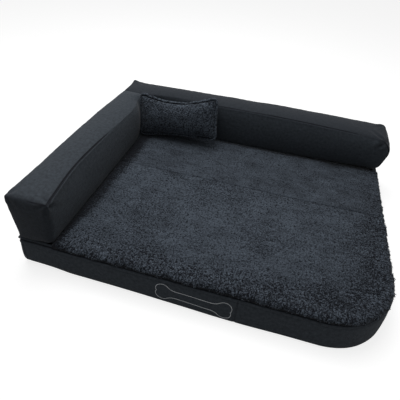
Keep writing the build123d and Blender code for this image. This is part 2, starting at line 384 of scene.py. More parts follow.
def weave_height(tree, place, pitch):
    """Height of a plain weave: rounded threads that go over and under by turns."""
    parts = add(tree, "ShaderNodeSeparateXYZ", {0: place}).outputs
    ridges = []
    for axis in (0, 1):
        turn = add(tree, "ShaderNodeMath", {0: parts[axis], 1: math.pi / pitch}, operation="MULTIPLY")
        wave = add(tree, "ShaderNodeMath", {0: turn}, operation="SINE")
        ridges.append(add(tree, "ShaderNodeMath", {0: wave}, operation="ABSOLUTE"))
    squares = add(tree, "ShaderNodeTexChecker", {"Vector": place, "Scale": 1 / pitch})
    turns = {0: squares.outputs["Fac"], 2: ridges[0], 3: ridges[1]}
    return add(tree, "ShaderNodeMix", turns, data_type="FLOAT")


def canvas_material(name, dark, light, pitch, coordinate):
    """Woven cloth: matte threads, faint slubs along both ways, a soft mottle and painted shade."""
    material, tree = new_material(name)
    source = add(tree, "ShaderNodeTexCoord").outputs[coordinate]
    weave = weave_height(tree, source, pitch)
    slubs = []
    for stretch in ((1, slub_stretch, 1), (slub_stretch, 1, 1)):
        scaled = add(tree, "ShaderNodeMapping", {"Vector": source, "Scale": stretch})
        grain = {"Vector": scaled, "Scale": 1 / slub_length, "Detail": 2.0}
        slubs.append(add(tree, "ShaderNodeTexNoise", grain))
    both = add(tree, "ShaderNodeMath", {0: slubs[0], 1: slubs[1]}, operation="MULTIPLY")
    grain = {"Vector": source, "Scale": 1 / mottle_size, "Detail": 4.0}
    mottle = add(tree, "ShaderNodeTexNoise", grain)
    mixed = add(tree, "ShaderNodeMath", {0: both, 1: mottle}, operation="ADD")
    tone = add(tree, "ShaderNodeMapRange", {"Value": mixed, "From Min": 0.35, "From Max": 1.15})
    thread = add(tree, "ShaderNodeMix", {0: weave, 2: 0.5, 3: 1.0}, data_type="FLOAT")
    shade = add(tree, "ShaderNodeMath", {0: tone, 1: thread}, operation="MULTIPLY")
    ends = {0: shade, 6: linear(dark), 7: linear(light)}
    woven = add(tree, "ShaderNodeMix", ends, data_type="RGBA")
    # Painted shade: the cloth is mixed towards a blue-black where its points carry painted shade.
    painted_shade = add(tree, "ShaderNodeAttribute", attribute_name="painted_shade").outputs["Fac"]
    depth = add(
        tree, "ShaderNodeMath", {0: painted_shade, 1: painted_shade_strength}, operation="MULTIPLY", use_clamp=True
    )
    ends = {0: depth, 6: woven.outputs[2], 7: linear("#01050f")}
    colour = add(tree, "ShaderNodeMix", ends, data_type="RGBA")
    bump = add(tree, "ShaderNodeBump", {"Height": weave, "Distance": 0.25 * mm, "Strength": 0.6})
    shader = add(
        tree,
        "ShaderNodeBsdfPrincipled",
        {
            "Base Color": colour.outputs[2],
            "Roughness": 0.9,
            "IOR": 1.5,
            "Specular IOR Level": 0.3,
            "Sheen Weight": 0.06,
            "Sheen Roughness": 0.4,
            "Normal": bump,
        },
    )
    close_material(tree, shader)
    return material


# Thread by thread it is two greys, which from afar mix to a matte, slightly blue slate.
canvas = canvas_material("plain weave polyester canvas", "#1f2429", "#454c54", canvas_pitch, "UV")

# %% [markdown]
# ## Plush
# The lying surface is a long sherpa pile: polyester fibre crimped into curls, about 5 mm
# across. Light falls between the curls and is lost, so each point carries its height in
# the pile as an attribute, and the colour runs from dark roots to greyer tips. A fibre is
# 0.03 mm thick, far too fine to show, so tufts of 3.2 mm are drawn in its place.

# %% Plush material
strand_size = 3.2 * mm
streak_size, streak_stretch = 14 * mm, 0.3
patch_size = 60 * mm


def plush_material(name, root, tip):
    """Curly pile: painted shade between the curls, a soft sheen over their tips."""
    material, tree = new_material(name)
    place = add(tree, "ShaderNodeTexCoord").outputs["Object"]
    combed = add(tree, "ShaderNodeMapping", {"Vector": place, "Scale": (streak_stretch, 1.0, 1.0)})
    strands = add(tree, "ShaderNodeTexNoise", {"Vector": place, "Scale": 1 / strand_size, "Detail": 3.0})
    streaks = add(tree, "ShaderNodeTexNoise", {"Vector": combed, "Scale": 1 / streak_size})
    patches = add(tree, "ShaderNodeTexNoise", {"Vector": place, "Scale": 1 / patch_size, "Detail": 2.0})
    loose = add(tree, "ShaderNodeAttribute", attribute_name="loose").outputs["Fac"]
    spread = add(tree, "ShaderNodeMath", {0: loose, 1: 2.0, 2: 1.4}, operation="MULTIPLY_ADD")
    centred = add(tree, "ShaderNodeMath", {0: strands, 1: 0.5}, operation="SUBTRACT")
    change = add(tree, "ShaderNodeMath", {0: centred, 1: spread}, operation="MULTIPLY")
    for drift, strength in ((streaks, 0.5), (patches, 0.3)):
        parts = {0: drift, 1: strength, 2: -strength / 2}
        slow = add(tree, "ShaderNodeMath", parts, operation="MULTIPLY_ADD")
        change = add(tree, "ShaderNodeMath", {0: change, 1: slow}, operation="ADD")
    # The pile attribute is the height in the pile, with painted shade added to it.
    depth = add(tree, "ShaderNodeAttribute", attribute_name="pile").outputs["Fac"]
    height = add(tree, "ShaderNodeMath", {0: depth, 1: change}, operation="ADD", use_clamp=True)
    ends = {0: height, 6: linear(root), 7: linear(tip)}
    colour = add(tree, "ShaderNodeMix", ends, data_type="RGBA")
    bump = add(tree, "ShaderNodeBump", {"Height": strands, "Distance": 0.8 * mm, "Strength": 0.7})
    shader = add(
        tree,
        "ShaderNodeBsdfPrincipled",
        {
            "Base Color": colour.outputs[2],
            "Roughness": 0.95,
            "IOR": 1.5,
            "Specular IOR Level": 0.2,
            "Sheen Weight": 0.06,
            "Sheen Roughness": 0.5,
            "Normal": bump,
        },
    )
    close_material(tree, shader)
    return material


# Curled fibre scatters light every way, so it has no highlight and looks deep and soft.
# The root colour is painted shade, the dark between the curls.
plush = plush_material("sherpa plush pile", "#090d14", "#58616c")

# %% [markdown]
# ## Small hard materials
# A zip has a nylon coil, a lacquered zinc slider and steel stops pressed onto its tape. The
# grip panel is coated cloth with dots of rubber printed on it, and the bone is sewn in a
# pale polyester thread. All are nearly even, so one function makes them: a fine grain
# that changes the colour, the gloss and the surface by a little.

# %% Hard materials


def plain_material(name, code, grain_size, grain, roughness, metallic=0.0, ior=1.5, sheen=0.0):
    """A nearly even finish with a fine grain in its colour, gloss and surface."""
    material, tree = new_material(name)
    place = add(tree, "ShaderNodeTexCoord").outputs["Object"]
    speck = add(tree, "ShaderNodeTexNoise", {"Vector": place, "Scale": 1 / grain_size, "Detail": 3.0})
    base = linear(code)[:3]
    darker = [part * (1 - grain) for part in base] + [1]
    lighter = [min(1, part * (1 + grain)) for part in base] + [1]
    colour = add(tree, "ShaderNodeMix", {0: speck, 6: darker, 7: lighter}, data_type="RGBA")
    spread = {"Value": speck, "To Min": roughness * 0.85, "To Max": min(1, roughness * 1.15)}
    gloss = add(tree, "ShaderNodeMapRange", spread)
    bump = add(tree, "ShaderNodeBump", {"Height": speck, "Distance": 0.05 * mm, "Strength": 0.5})
    shader = add(
        tree,
        "ShaderNodeBsdfPrincipled",
        {
            "Base Color": colour.outputs[2],
            "Roughness": gloss,
            "Metallic": metallic,
            "IOR": ior,
            "Sheen Weight": sheen,
            "Normal": bump,
        },
    )
    close_material(tree, shader)
    return material


# Moulded nylon is smooth and a little glossy, so each loop of the coil catches the light.
nylon = plain_material("moulded nylon coil", "#2b2e31", 0.4 * mm, 0.15, 0.45, ior=1.53)
# Lacquer darkens the zinc and leaves it small, bright highlights.
zinc = plain_material("lacquered zinc slider", "#3c4044", 0.5 * mm, 0.12, 0.3, metallic=1.0)
# Bare pressed steel is lighter, with a softer gloss.
steel = plain_material("pressed steel stop", "#8d9196", 0.5 * mm, 0.12, 0.35, metallic=1.0)
# The tape is a dense, flat weave, darker than the canvas. Its thread is drawn twice as wide.
tape_cloth = canvas_material("woven zip tape", "#17191b", "#303437", 1.0 * mm, "Object")
# Printed rubber is matte, with a slightly uneven skin.
rubber = plain_material("printed rubber dots", "#1d1f21", 1.2 * mm, 0.2, 0.6, ior=1.52)
# Polyester thread has a silky gloss, which makes the bone the brightest line of the bed.
thread = plain_material("pale polyester thread", "#e0e4e8", 0.6 * mm, 0.18, 0.5, sheen=0.2)
# The hooks are too fine to draw, so a strong grain stands for them.
hook_nylon = plain_material("nylon hooks", "#1a1c1e", 0.7 * mm, 0.4, 0.7)

# %% [markdown]
# ## The outline of the base
# Three corners of the foam are small, and the one at the open front corner is large, so
# that it is easy to step out over. Everything on the base follows this one outline.

# %% Outline of the base
band_low, band_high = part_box("base_band_left")[0].z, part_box("base_band_left")[1].z
left_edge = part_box("base_band_left")[0].x
right_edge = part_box("base_band_front_right")[1].x
front_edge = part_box("base_band_front_left")[0].y
rear_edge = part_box("base_band_rear_upper")[1].y
open_radius = 175 * mm
closed_radius = 18 * mm


def rounded_path(corners, step):
    """Points on a closed path with round corners, and their outward directions."""
    places, ways = [], []
    for x, y, radius, first in corners:
        middle = math.radians(first + 45)
        centre_x = x - math.copysign(radius, math.cos(middle))
        centre_y = y - math.copysign(radius, math.sin(middle))
        count = max(6, round(radius * math.pi / 2 / step))
        for part in range(count + 1):
            angle = math.radians(first + 90 * part / count)
            way = (math.cos(angle), math.sin(angle))
            places.append((centre_x + radius * way[0], centre_y + radius * way[1]))
            ways.append(way)
    filled, filled_ways = [], []
    for index, place in enumerate(places):
        after = places[(index + 1) % len(places)]
        count = max(1, round(math.dist(place, after) / step))
        for part in range(count):
            filled.append([a + (b - a) * part / count for a, b in zip(place, after)])
            filled_ways.append(ways[index])
    return np.array(filled), np.array(filled_ways)


def outline(step):
    """Points of the base's outline, their outward directions and their distance along it."""
    corners = (
        (right_edge, front_edge, open_radius, -90),
        (right_edge, rear_edge, closed_radius, 0),
        (left_edge, rear_edge, closed_radius, 90),
        (left_edge, front_edge, closed_radius, 180),
    )
    places, ways = rounded_path(corners, step)
    steps = np.linalg.norm(np.diff(places, axis=0, prepend=places[:1]), axis=1)
    return places, ways, np.cumsum(steps)


def edge_distance(x, y, inset=0.0):
    """How far points lie inside the base's outline, moved in by an inset."""
    half_x = (right_edge - left_edge) / 2 - inset
    half_y = (rear_edge - front_edge) / 2 - inset
    radius = np.where((x > 0) & (y < 0), open_radius, closed_radius) - inset
    px = np.abs(x) - half_x + radius
    py = np.abs(y) - half_y + radius
    outside = np.hypot(np.maximum(px, 0), np.maximum(py, 0))
    return radius - outside - np.minimum(np.maximum(px, py), 0)


def ring(places, ways, out, height):
    """A closed row of points, moved outwards and laid at a height."""
    out, height = [np.broadcast_to(value, len(places)) for value in (out, height)]
    return np.column_stack([places + ways * out[:, None], height])


def ring_faces(rows):
    """Faces of a stack of rings: quads between them, and one face at each end."""
    count = len(rows[0])
    faces = []
    for low in range(0, (len(rows) - 1) * count, count):
        high = low + count
        for index in range(count):
            after = (index + 1) % count
            faces.append((low + index, low + after, high + after, high + index))
    top = (len(rows) - 1) * count
    return faces + [tuple(range(count - 1, -1, -1)), tuple(range(top, top + count))]


print("outline", round(outline(10 * mm)[2][-1], 2), "m long")

# %% [markdown]
# ## Cover of the base
# The cover is a band of canvas strips, sewn end to end and to the panels above and below.
# It is pulled over firm foam, so it only bulges a little. It could be simulated too, but
# a firm box barely moves, so its bulge, folds and seams are placed by rules here.

# %% Sizes of the base cover
outline_step = 3.2 * mm
band_bulge = 2.5 * mm
band_flare = 5.0 * mm
foot_round, foot_round_height = 2.0 * mm, 2.2 * mm
piping_height, piping_width, piping_rise = 83.2 * mm, 1.6 * mm, 1.3 * mm
groove_height, groove_width, groove_depth = 79.6 * mm, 1.2 * mm, 0.9 * mm
seam_depth, seam_width = 1.4 * mm, 2.2 * mm
slot_half, slot_depth = 6.0 * mm, 2.3 * mm
hem_radius = 3.0 * mm
tuck_height = 22 * mm
front_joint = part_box("base_band_front_left")[1].x
base_zip_low, base_zip_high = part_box("base_zip_stops")
base_zip_centre = (base_zip_low.z + base_zip_high.z) / 2
deck_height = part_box("base_deck_panel")[1].z - 0.2 * mm

# Rows of the band, closer at the foot, at the zip's slot and at the piping.
band_heights = [0, 1, 2.5, 5, 9, 15, 22, 30, 36, 39, 39.9, 40.2, 46, 52, 52.3, 53.2, 56, 62, 68]
band_heights += [74, 77, 79, 80.2, 81.2, 82.2, 83.2, 84.5, 86]
band_heights = np.array(band_heights) * mm + band_low

# Places along an edge and how far its foot stands out or is drawn in there, all in mm.
front_foot = ((-500, -250, 0, 60, 150, 250, 350, 430, 480, 500), (0, 1, 6, 7.5, 8, 6.5, 6.5, 8, 5, 0))
front_tuck = (
    (-500, -440, -400, -370, -300, -200, -100, 0, 80, 150, 500),
    (13, 12, 8, 4.5, 3, 2.5, 2, 1.5, 1, 1, 1),
)
left_tuck = ((-400, -340, -260, 400), (9, 7, 1, 1))

# %% Base cover


def bottom_tuck(places, ways):
    """How far the bottom edge is drawn in. The soft front left corner curls under."""
    front = along(*front_tuck, places[:, 0] / mm) * np.clip(-ways[:, 1], 0, 1)
    left = along(*left_tuck, places[:, 1] / mm) * np.clip(-ways[:, 0], 0, 1)
    return (front + left) * mm


def band_row(places, ways, height):
    """How far one row of the band stands out, and its painted shade in the seams and the groove."""
    x, y = places.T
    above = height - band_low
    share = min(1, above / (band_high - band_low))
    foot = along(*front_foot, x / mm) * mm * np.clip(-ways[:, 1], 0, 1)
    out = band_bulge * math.sin(math.pi * share) + band_flare * (0.5 - share) * np.abs(ways[:, 0])
    out += foot * (1 - share) ** 1.5 - bottom_tuck(places, ways) * max(0, 1 - above / tuck_height) ** 2
    out -= foot_round * bell(above, foot_round_height)
    under = bell(above - groove_height, groove_width)
    out += piping_rise * bell(above - piping_height, piping_width) - groove_depth * under
    spots = np.column_stack([places, np.full(len(places), height * 1.6)])
    calm = np.where(y > rear_edge - 40 * mm, 0.3, 1.0)
    out += calm * 1.5 * mm * rough(spots, 90 * mm, 3) * math.sin(math.pi * min(1, share + 0.05))
    out += calm * 0.5 * mm * rough(spots * [1, 1, 0.3], 22 * mm, 5) * share
    # Painted shade in the groove under the piping and in the seams at the front joints.
    painted_shade = np.full(len(places), 0.25 * under)
    for joint in (front_joint, left_edge + closed_radius):
        near = np.where(y < front_edge + closed_radius, bell(x - joint, seam_width), 0)
        out -= seam_depth * near
        painted_shade = np.maximum(painted_shade, 0.6 * near)
    if abs(height - base_zip_centre) < slot_half:
        in_slot = (y > rear_edge - mm) & (np.abs(x) < base_zip_high.x + 2 * mm)
        out = np.where(in_slot, -slot_depth, out)
    return out, painted_shade


def base_cover():
    """The band round the base as one closed form, with its joints, hem and zip slot."""
    places, ways, distance = outline(outline_step)
    rows, painted_shades = [], []
    for height in band_heights:
        out, painted_shade = band_row(places, ways, height)
        rows.append(ring(places, ways, out, height))
        painted_shades.append(painted_shade)

    # The band's last row goes on over the edge, as a hem that turns in under the plush. It gets more
    # painted shade as it turns, and full painted shade under the plush.
    open_side = smooth_step((places[:, 0] - left_edge - 102 * mm) / (10 * mm))
    open_side *= smooth_step((298 * mm - places[:, 1]) / (10 * mm))
    rise = (1.5 + 3.0 * (1 - open_side)) * mm
    for turn in (0.2, 0.45, 0.7, 1.0):
        angle = turn * math.pi / 2
        drawn = out - hem_radius * (1 - math.cos(angle))
        rows.append(ring(places, ways, drawn, height + rise * math.sin(angle)))
        painted_shades.append(np.full(len(places), turn**3))
    hem = height + rise
    for inset, level in ((11.0, hem), (13.0, hem), (14.5, deck_height), (17.0, deck_height)):
        rows.append(ring(places, ways, -inset * mm, level))
        painted_shades.append(np.ones(len(places)))

    # The cloth's own coordinates run on along the hem, so that its weave isn't squeezed.
    levels = np.append(band_heights, height + np.array([1, 2, 3, 4, 12, 14, 20, 23]) * mm)
    lengths = np.append(distance, distance[-1] + outline_step)
    uvs = []
    for low, high in zip(levels, levels[1:]):
        for near, far in zip(lengths, lengths[1:]):
            uvs += [(near, low), (far, low), (far, high), (near, high)]
    uvs += [(x, y) for x, y in places[::-1]] + [(x, y) for x, y in places]
    piece = new_piece("base_cover", np.concatenate(rows), ring_faces(rows), uvs)
    store(piece, "painted_shade", np.concatenate(painted_shades))
    piece.data.materials.append(canvas)
    return piece


cover = base_cover()
finish_piece(
    cover, "bed", "canvas",
    "base_band_left", "base_band_front_left", "base_band_front_right", "base_band_rear_lower",
    "base_band_rear_upper", "base_liner", "base_support_foam", "base_memory_foam", "base_deck_panel",
)

# %% [markdown]
# ## Moves that a sculptor would make
# Cloth that is sewn at an angle pulls into folds near its corners. Two small moves do most
# of that: one pushes the points near a place, and one lays a fold along a short line.

# %% Push and fold


def push(points, place, radius, move):
    """Move the points near a place. All in mm, with heights from the bolsters' top edge."""
    place = (np.array(place) + (0, 0, bolster_side_top / mm)) * mm
    near = np.exp(-((points - place) ** 2).sum(axis=1) / (radius * mm) ** 2)
    return points + near[:, None] * np.array(move) * mm


def fold(points, normals, start, end, width, depth, painted_shade):
    """A narrow valley along a line, with a soft rise on both sides, and painted shade in the valley."""
    start, line = np.array(start), np.array(end) - np.array(start)
    share = np.clip((points - start) @ line / (line @ line), 0, 1)
    far = np.linalg.norm(points - start - share[:, None] * line, axis=1) / width
    fade = np.clip(4 * share, 0, 1) * np.clip(1.5 * (1 - share), 0, 1) + 0.15
    profile = 0.45 * np.exp(-((far - 1.9) ** 2)) - np.exp(-(far**2))
    np.maximum(painted_shade, fade * np.exp(-(far**2)) * min(1, depth / (7 * mm)), out=painted_shade)
    return points + (profile * fade * depth)[:, None] * normals


def seam(shares, size, axes, sides, width):
    """A sewn edge: 1 in its groove, and below 0 on the rolled lip of its first face."""
    first, second = [np.abs(shares[:, axis] - side) * size[axis] for axis, side in zip(axes, sides)]
    lip = bell(second / width - 2.4, 1.1) * (first < 0.1 * mm)
    return bell(first + second, width) - 0.45 * lip


# %% [markdown]
# ## Round edges
# Foam under a cover rounds its edges by different amounts. Each point of the box gets its
# own radius, blended from the edges near it, and is then pulled onto that round edge.

# %% Round edges


def with_rows(shares, length, places):
    """Add rows at given places, in metres, and drop the rows that lie too near to them."""
    wanted = np.array(places) / length
    kept = [s for s in shares if s in (0, 1) or np.abs(wanted - s).min() > 1.2 * mm / length]
    return np.array(sorted(set(kept) | set(wanted)))


def edge_radii(shares, size, plain, edges):
    """The rounding radius at each point: a plain one, and others along chosen edges."""
    total = np.full(len(shares), 0.02)
    radius = total * plain
    for axes, sides, radii in edges:
        first, second = [(shares[:, axis] - side) * size[axis] for axis, side in zip(axes, sides)]
        near = np.exp(-(first**2 + second**2) / (22 * mm) ** 2)
        places = np.linspace(0, 1, len(radii))
        radius += near * along(places, radii, shares[:, 3 - axes[0] - axes[1]]) * mm
        total += near
    return radius / total


def round_off(shares, size, radius):
    """Round the edges of the box that the shares describe, each point by its own radius."""
    size = np.array(size)
    radius = radius[:, None]
    places = shares * size
    inner = np.clip(places, radius, size - radius)
    away = places - inner
    length = np.linalg.norm(away, axis=1)[:, None]
    return np.clip((inner + away * radius / np.maximum(length, 1e-9)) / size, 0, 1)


# %% [markdown]
# ## Bolsters
# Each bolster is a canvas box over a foam core wrapped in wadding. The wadding pushes the
# panels out, and the sewn edges hold them in. Blender's cloth does the same here: the rows
# at the seams are held, air pressure swells the rest, and one subdivision smooths it.
# The long edges follow the real ones, which lean in at the top and wander a little.

# %% Bolster sizes
bolster_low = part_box("left_bolster_front_cap")[0].z
bolster_side = 141 * mm
bolster_side_top = bolster_low + bolster_side
bolster_edge_radius = 8 * mm
bolster_crown = 4 * mm
bolster_step, bolster_reach = 11 * mm, 7 * mm
bolster_pressure, seam_hold = 4.0, 0.85
wander_size, wander_height = 75 * mm, 1.3 * mm
ripple_size, ripple_height, ripple_reach, ripple_stretch = 15 * mm, 1.0 * mm, 16 * mm, 0.22
sewn_width = 2.6 * mm
zip_height = (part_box("left_bolster_zip_coil")[0].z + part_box("left_bolster_zip_coil")[1].z) / 2
zip_rows = [
    zip_height - bolster_low + shift * mm for shift in (-15, -7.2, -6.2, -5.6, 5.6, 6.2, 7.2, 15)
]
slot_rim = 17 * mm
tape_gap, tape_back = 0.5 * mm, 1.3 * mm


def bolster(name, size, form, edges):
    """A stuffed box. form turns shares of its size into places, edges lists its round edges."""
    us = graded(size[0], bolster_step)
    vs = graded(size[1], bolster_step)
    ws = with_rows(graded(size[2], bolster_step), size[2], zip_rows)
    shares, faces, uvs = skin(us, vs, ws, size)
    rounded = round_off(shares, size, edge_radii(shares, size, bolster_edge_radius, edges))
    piece = new_piece(name, form(rounded), faces, uvs)
    store(piece, "share", shares)
    on_edge = ((shares == 0) | (shares == 1)).sum(axis=1) >= 2
    held = np.where(on_edge, seam_hold, 0.0)
    held[shares[:, 2] < 0.02] = 1.0
    inflate(piece, held, bolster_pressure, bolster_reach)
    piece.data.materials.append(canvas)
    return refine(piece, 1)


def wrinkle(points, normals, shares, size, seed):
    """Small folds that run away from the seams, and a slow wander of the whole skin."""
    real = shares * np.array(size)
    total = rough(points, wander_size, seed) * wander_height
    for axis in (0, 1, 2):
        for side in (0, 1):
            far = np.abs(shares[:, axis] - side) * size[axis]
            stretched = real.copy()
            stretched[:, axis] *= ripple_stretch
            ripple = rough(stretched, ripple_size, seed + axis * 2 + side) * ripple_height
            total += ripple * np.exp(-far / ripple_reach) * (far > 0.5 * mm)
    total[shares[:, 2] < 0.01] = 0
    return points + total[:, None] * normals


def sew(piece, size, seed, seams, folds):
    """Wrinkles, sewn grooves and folds: a bolster's new points and the painted shade in its grooves and
    folds.

    A seam is two axes, the sides they lie at and a depth. A fold is its start and its end,
    with heights from the side's top edge, its width and its depth. All are in mm.
    """
    points, shares = points_of(piece.data), shares_of(piece)
    points = wrinkle(points, normals_of(piece.data), shares, size, seed)
    normals = normals_of(piece.data)
    uneven = 1 + 0.3 * rough(points, 30 * mm, seed + 10)
    painted_shade = np.zeros(len(points))
    for axes, sides, depth in seams:
        line = seam(shares, size, axes, sides, sewn_width) * depth * uneven
        points -= line[:, None] * mm * normals
        # Painted shade in the seam's groove, deeper for deeper seams.
        painted_shade = np.maximum(painted_shade, line * np.clip(depth, 0.6, 2.2))
    top = np.array((0, 0, bolster_side_top / mm))
    for start, end, width, depth in folds:
        start, end = (start + top) * mm, (end + top) * mm
        points = fold(points, normals, start, end, width * mm, depth * mm, painted_shade)
    return points, painted_shade


def open_slot(prefix, piece, points, axis):
    """Press the outer panel in behind the zip's tape, and keep it outside the tape elsewhere."""
    outward = (-1, 1)[axis]
    tape_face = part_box(f"{prefix}_zip_tape")[axis][axis]
    first, last = [stop[1 - axis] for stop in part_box(f"{prefix}_zip_stops")]
    run, height = points[:, 1 - axis], np.abs(points[:, 2] - zip_height)
    outer = shares_of(piece)[:, axis] == axis
    inside = outer & (run > first - 1 * mm) & (run < last + 1 * mm)
    in_slot = inside & (height < slot_half)
    by_slot = inside & (height >= slot_half) & (height < slot_rim)
    points[in_slot, axis] = tape_face - outward * tape_back
    proud = tape_face + outward * tape_gap
    points[by_slot, axis] = outward * np.maximum(outward * points[by_slot, axis], outward * proud)
    return points


def close_bolster(prefix, piece, points, axis, caps):
    """Put the finished skin in its place and say what it stands for."""
    move_points(piece, open_slot(prefix, piece, points, axis))
    parts = ("core", "wadding", "top_panel", "inner_panel") + caps
    finish_piece(piece, "bed", "canvas", *[f"{prefix}_{part}" for part in parts])


# %% [markdown]
# ### The left bolster
# It runs from the front edge to the back bolster. Its inner top edge is a sewn seam that
# bows towards the outside, so the top is narrow in the middle and wide at its two ends.
# All tables are in mm. Two give the courses of its top edges. The table of edges has, for
# each round edge, the two axes across it, the sides that it lies at and its radii along it.

# %% Left bolster
left_size = (105 * mm, 683 * mm, bolster_side)
left_rear = 290.3
left_outer_top = (
    (-392, -340, -250, -180, -60, 52, 154, 252, 290),
    (-504, -504, -501, -503, -505, -503, -499, -492, -488),
)
left_inner_top = (
    (-392, -339, -281, -209, -101, 6, 159, 290),
    (-382, -389, -398, -405, -404, -399, -389, -388),
)
left_edges = (
    ((0, 2), (1, 1), (4, 5, 9, 20, 26)),
    ((0, 2), (0, 1), (4, 5, 7, 8, 8)),
    ((0, 2), (1, 0), (14, 14, 14, 14, 14)),
    ((1, 2), (0, 1), (7, 9, 9, 7, 4)),
    ((0, 1), (1, 0), (22, 20, 16, 10, 4)),
    ((0, 1), (0, 0), (10, 9, 8, 6, 4)),
    ((1, 2), (1, 1), (3, 3, 3, 3, 3)),
)
left_folds = (
    ((-383, -392, -3), (-391, -398, -50), 4, 5.0),
    ((-384, -393, 0), (-430, -398, -22), 4, 3.4),
    ((-386, -386, 0), (-416, -345, 4), 5, 3.0),
    ((-381, -388, -4), (-387, -345, -36), 5, 3.4),
    ((-498, -390, 0), (-470, -398, -36), 6, 2.4),
    ((-498, -386, 0), (-478, -340, 3), 7, 2.4),
)


def left_form(shares):
    """Places of the left bolster's skin."""
    u, v, w = shares.T
    y = (-396.0 + 5.0 * w) * (1 - v) + 290.2 * v
    y -= 4.5 * np.sin(np.pi * w) ** 0.8 * np.sin(np.pi * u) ** 0.6 * (1 - v) ** 4
    lift = w**1.6
    outer_foot = along((-392, -300, 290), (-492.5, -496.5, -496.5), y)
    outer = outer_foot * (1 - lift) + along(*left_outer_top, y) * lift - 2.2 * np.sin(np.pi * w) ** 2
    inner = -391.0 * (1 - lift) + along(*left_inner_top, y) * lift + 5.0 * np.sin(np.pi * w) ** 1.2
    ends = np.clip(np.minimum(v, 1 - v) / 0.05, 0, 1) ** 0.5
    crown = bolster_crown * (1 - np.abs(2 * u - 1) ** 2.4) * ends
    x = outer * (1 - u) + inner * u
    return np.column_stack([x * mm, y * mm, bolster_low + w * (bolster_side + crown)])


def finish_left(piece):
    """Seams and folds, painted shade on the front cap and the flat end behind the back bolster."""
    u, v, w = shares_of(piece).T
    seams = (
        ((0, 2), (1, 1), along((0, 0.3, 0.5, 0.62, 1), (3.6, 3.2, 1.6, 0, 0), v)),
        ((0, 2), (0, 1), 0.5),
        ((1, 2), (0, 1), along((0, 0.5, 1), (0.2, 0.8, 2.2), u)),
        ((0, 1), (0, 0), 0.5),
        ((0, 1), (1, 0), 1.4 * w**6),
    )
    points, painted_shade = sew(piece, left_size, 11, seams, left_folds)
    points = push(points, (-384, -392, 0), 10, (2.5, -1.5, 1.5))
    dent = bell(points[:, 1] - 245 * mm, 38 * mm) * smooth_step((u - 0.3) / 0.6)
    points[:, 0] -= 18 * mm * dent
    points[:, 1] = np.minimum(points[:, 1], left_rear * mm)
    # Painted shade on the front cap, a little more towards its inner side and its foot.
    cap = np.clip(1 - v * left_size[1] / (14 * mm), 0, 1) ** 0.5 * (0.58 + 0.12 * u * (1 - w))
    store(piece, "painted_shade", np.maximum(painted_shade, cap))
    return points


left_cover = bolster("left_bolster_cover", left_size, left_form, left_edges)
close_bolster("left_bolster", left_cover, finish_left(left_cover), 0, ("front_cap", "rear_cap"))

# %% [markdown]
# ### The back bolster
# It is as long as the bed and closes the corner behind the left one. Its right end is
# puffed, and the inner top seam sags towards that end, because the wadding stops short.

# %% Back bolster
back_size = (986 * mm, 105 * mm, bolster_side)
back_front = 290.8
back_outer_top = ((-490, -440, -300, -124, 175, 350, 478), (389, 391, 395, 400, 404, 400, 392))
back_inner_top = (
    (-490, -400, -360, -100, 170, 255, 348, 420, 478),
    (291.2, 291.2, 299, 300, 298, 295, 292, 289, 288),
)
back_inner_height = ((-490, 300, 380, 430, 478), (141, 141, 139, 135, 128))
back_end = ((0, 0.14, 0.26, 0.42, 0.62, 0.77, 0.9, 1), (494, 496, 499, 502, 507, 503, 490, 480))
back_edges = (
    ((1, 2), (0, 1), (3, 3, 9, 10, 10, 10, 10, 10, 12, 18, 18)),
    ((1, 2), (0, 0), (8, 8, 8, 9, 12, 18, 34)),
    ((1, 2), (1, 1), (6, 6, 6)),
    ((0, 2), (0, 1), (10, 10, 10)),
    ((0, 2), (1, 1), (16, 10, 5)),
    ((0, 1), (1, 0), (22, 20, 16)),
)
back_folds = (
    ((486, 302, -16), (497, 345, -40), 5, 5.0),
    ((482, 292, -12), (428, 330, 3), 6, 4.0),
    ((482, 290, -16), (436, 292, -62), 6, 6.5),
    ((474, 292, -10), (440, 292, -42), 5, 5.5),
    ((478, 390, -1), (440, 352, 3), 5, 3.0),
    ((-470, 388, 4), (-430, 352, 3), 6, 2.2),
)


def back_form(shares):
    """Places of the back bolster's skin."""
    u, v, w = shares.T
    lift = w**1.6
    left = -496.5 + 8.0 * w**2 - 2.0 * np.sin(np.pi * w)
    right = along(*back_end, w) + 4.0 * np.sin(np.pi * w) * np.sin(np.pi * v) ** 0.5
    x = left * (1 - u) + right * u
    belly = along((-490, -100, 200, 478), (2.5, 4, 8, 11), x) * np.sin(np.pi * w**0.75) ** 1.1
    inner = 298.0 * (1 - lift) + along(*back_inner_top, x) * lift - belly
    outer = 396.5 * (1 - lift) + along(*back_outer_top, x) * lift + 1.5 * np.sin(np.pi * w) ** 2
    y = inner * (1 - v) + outer * v
    ends = np.clip(np.minimum(u, 1 - u) / 0.04, 0, 1) ** 0.5
    crown = bolster_crown * (1 - np.abs(2 * v - 1) ** 2.4) * ends
    side = along(*back_inner_height, x) * mm * (1 - v) + bolster_side * v
    return np.column_stack([x * mm, y * mm, bolster_low + w * (side + crown)])


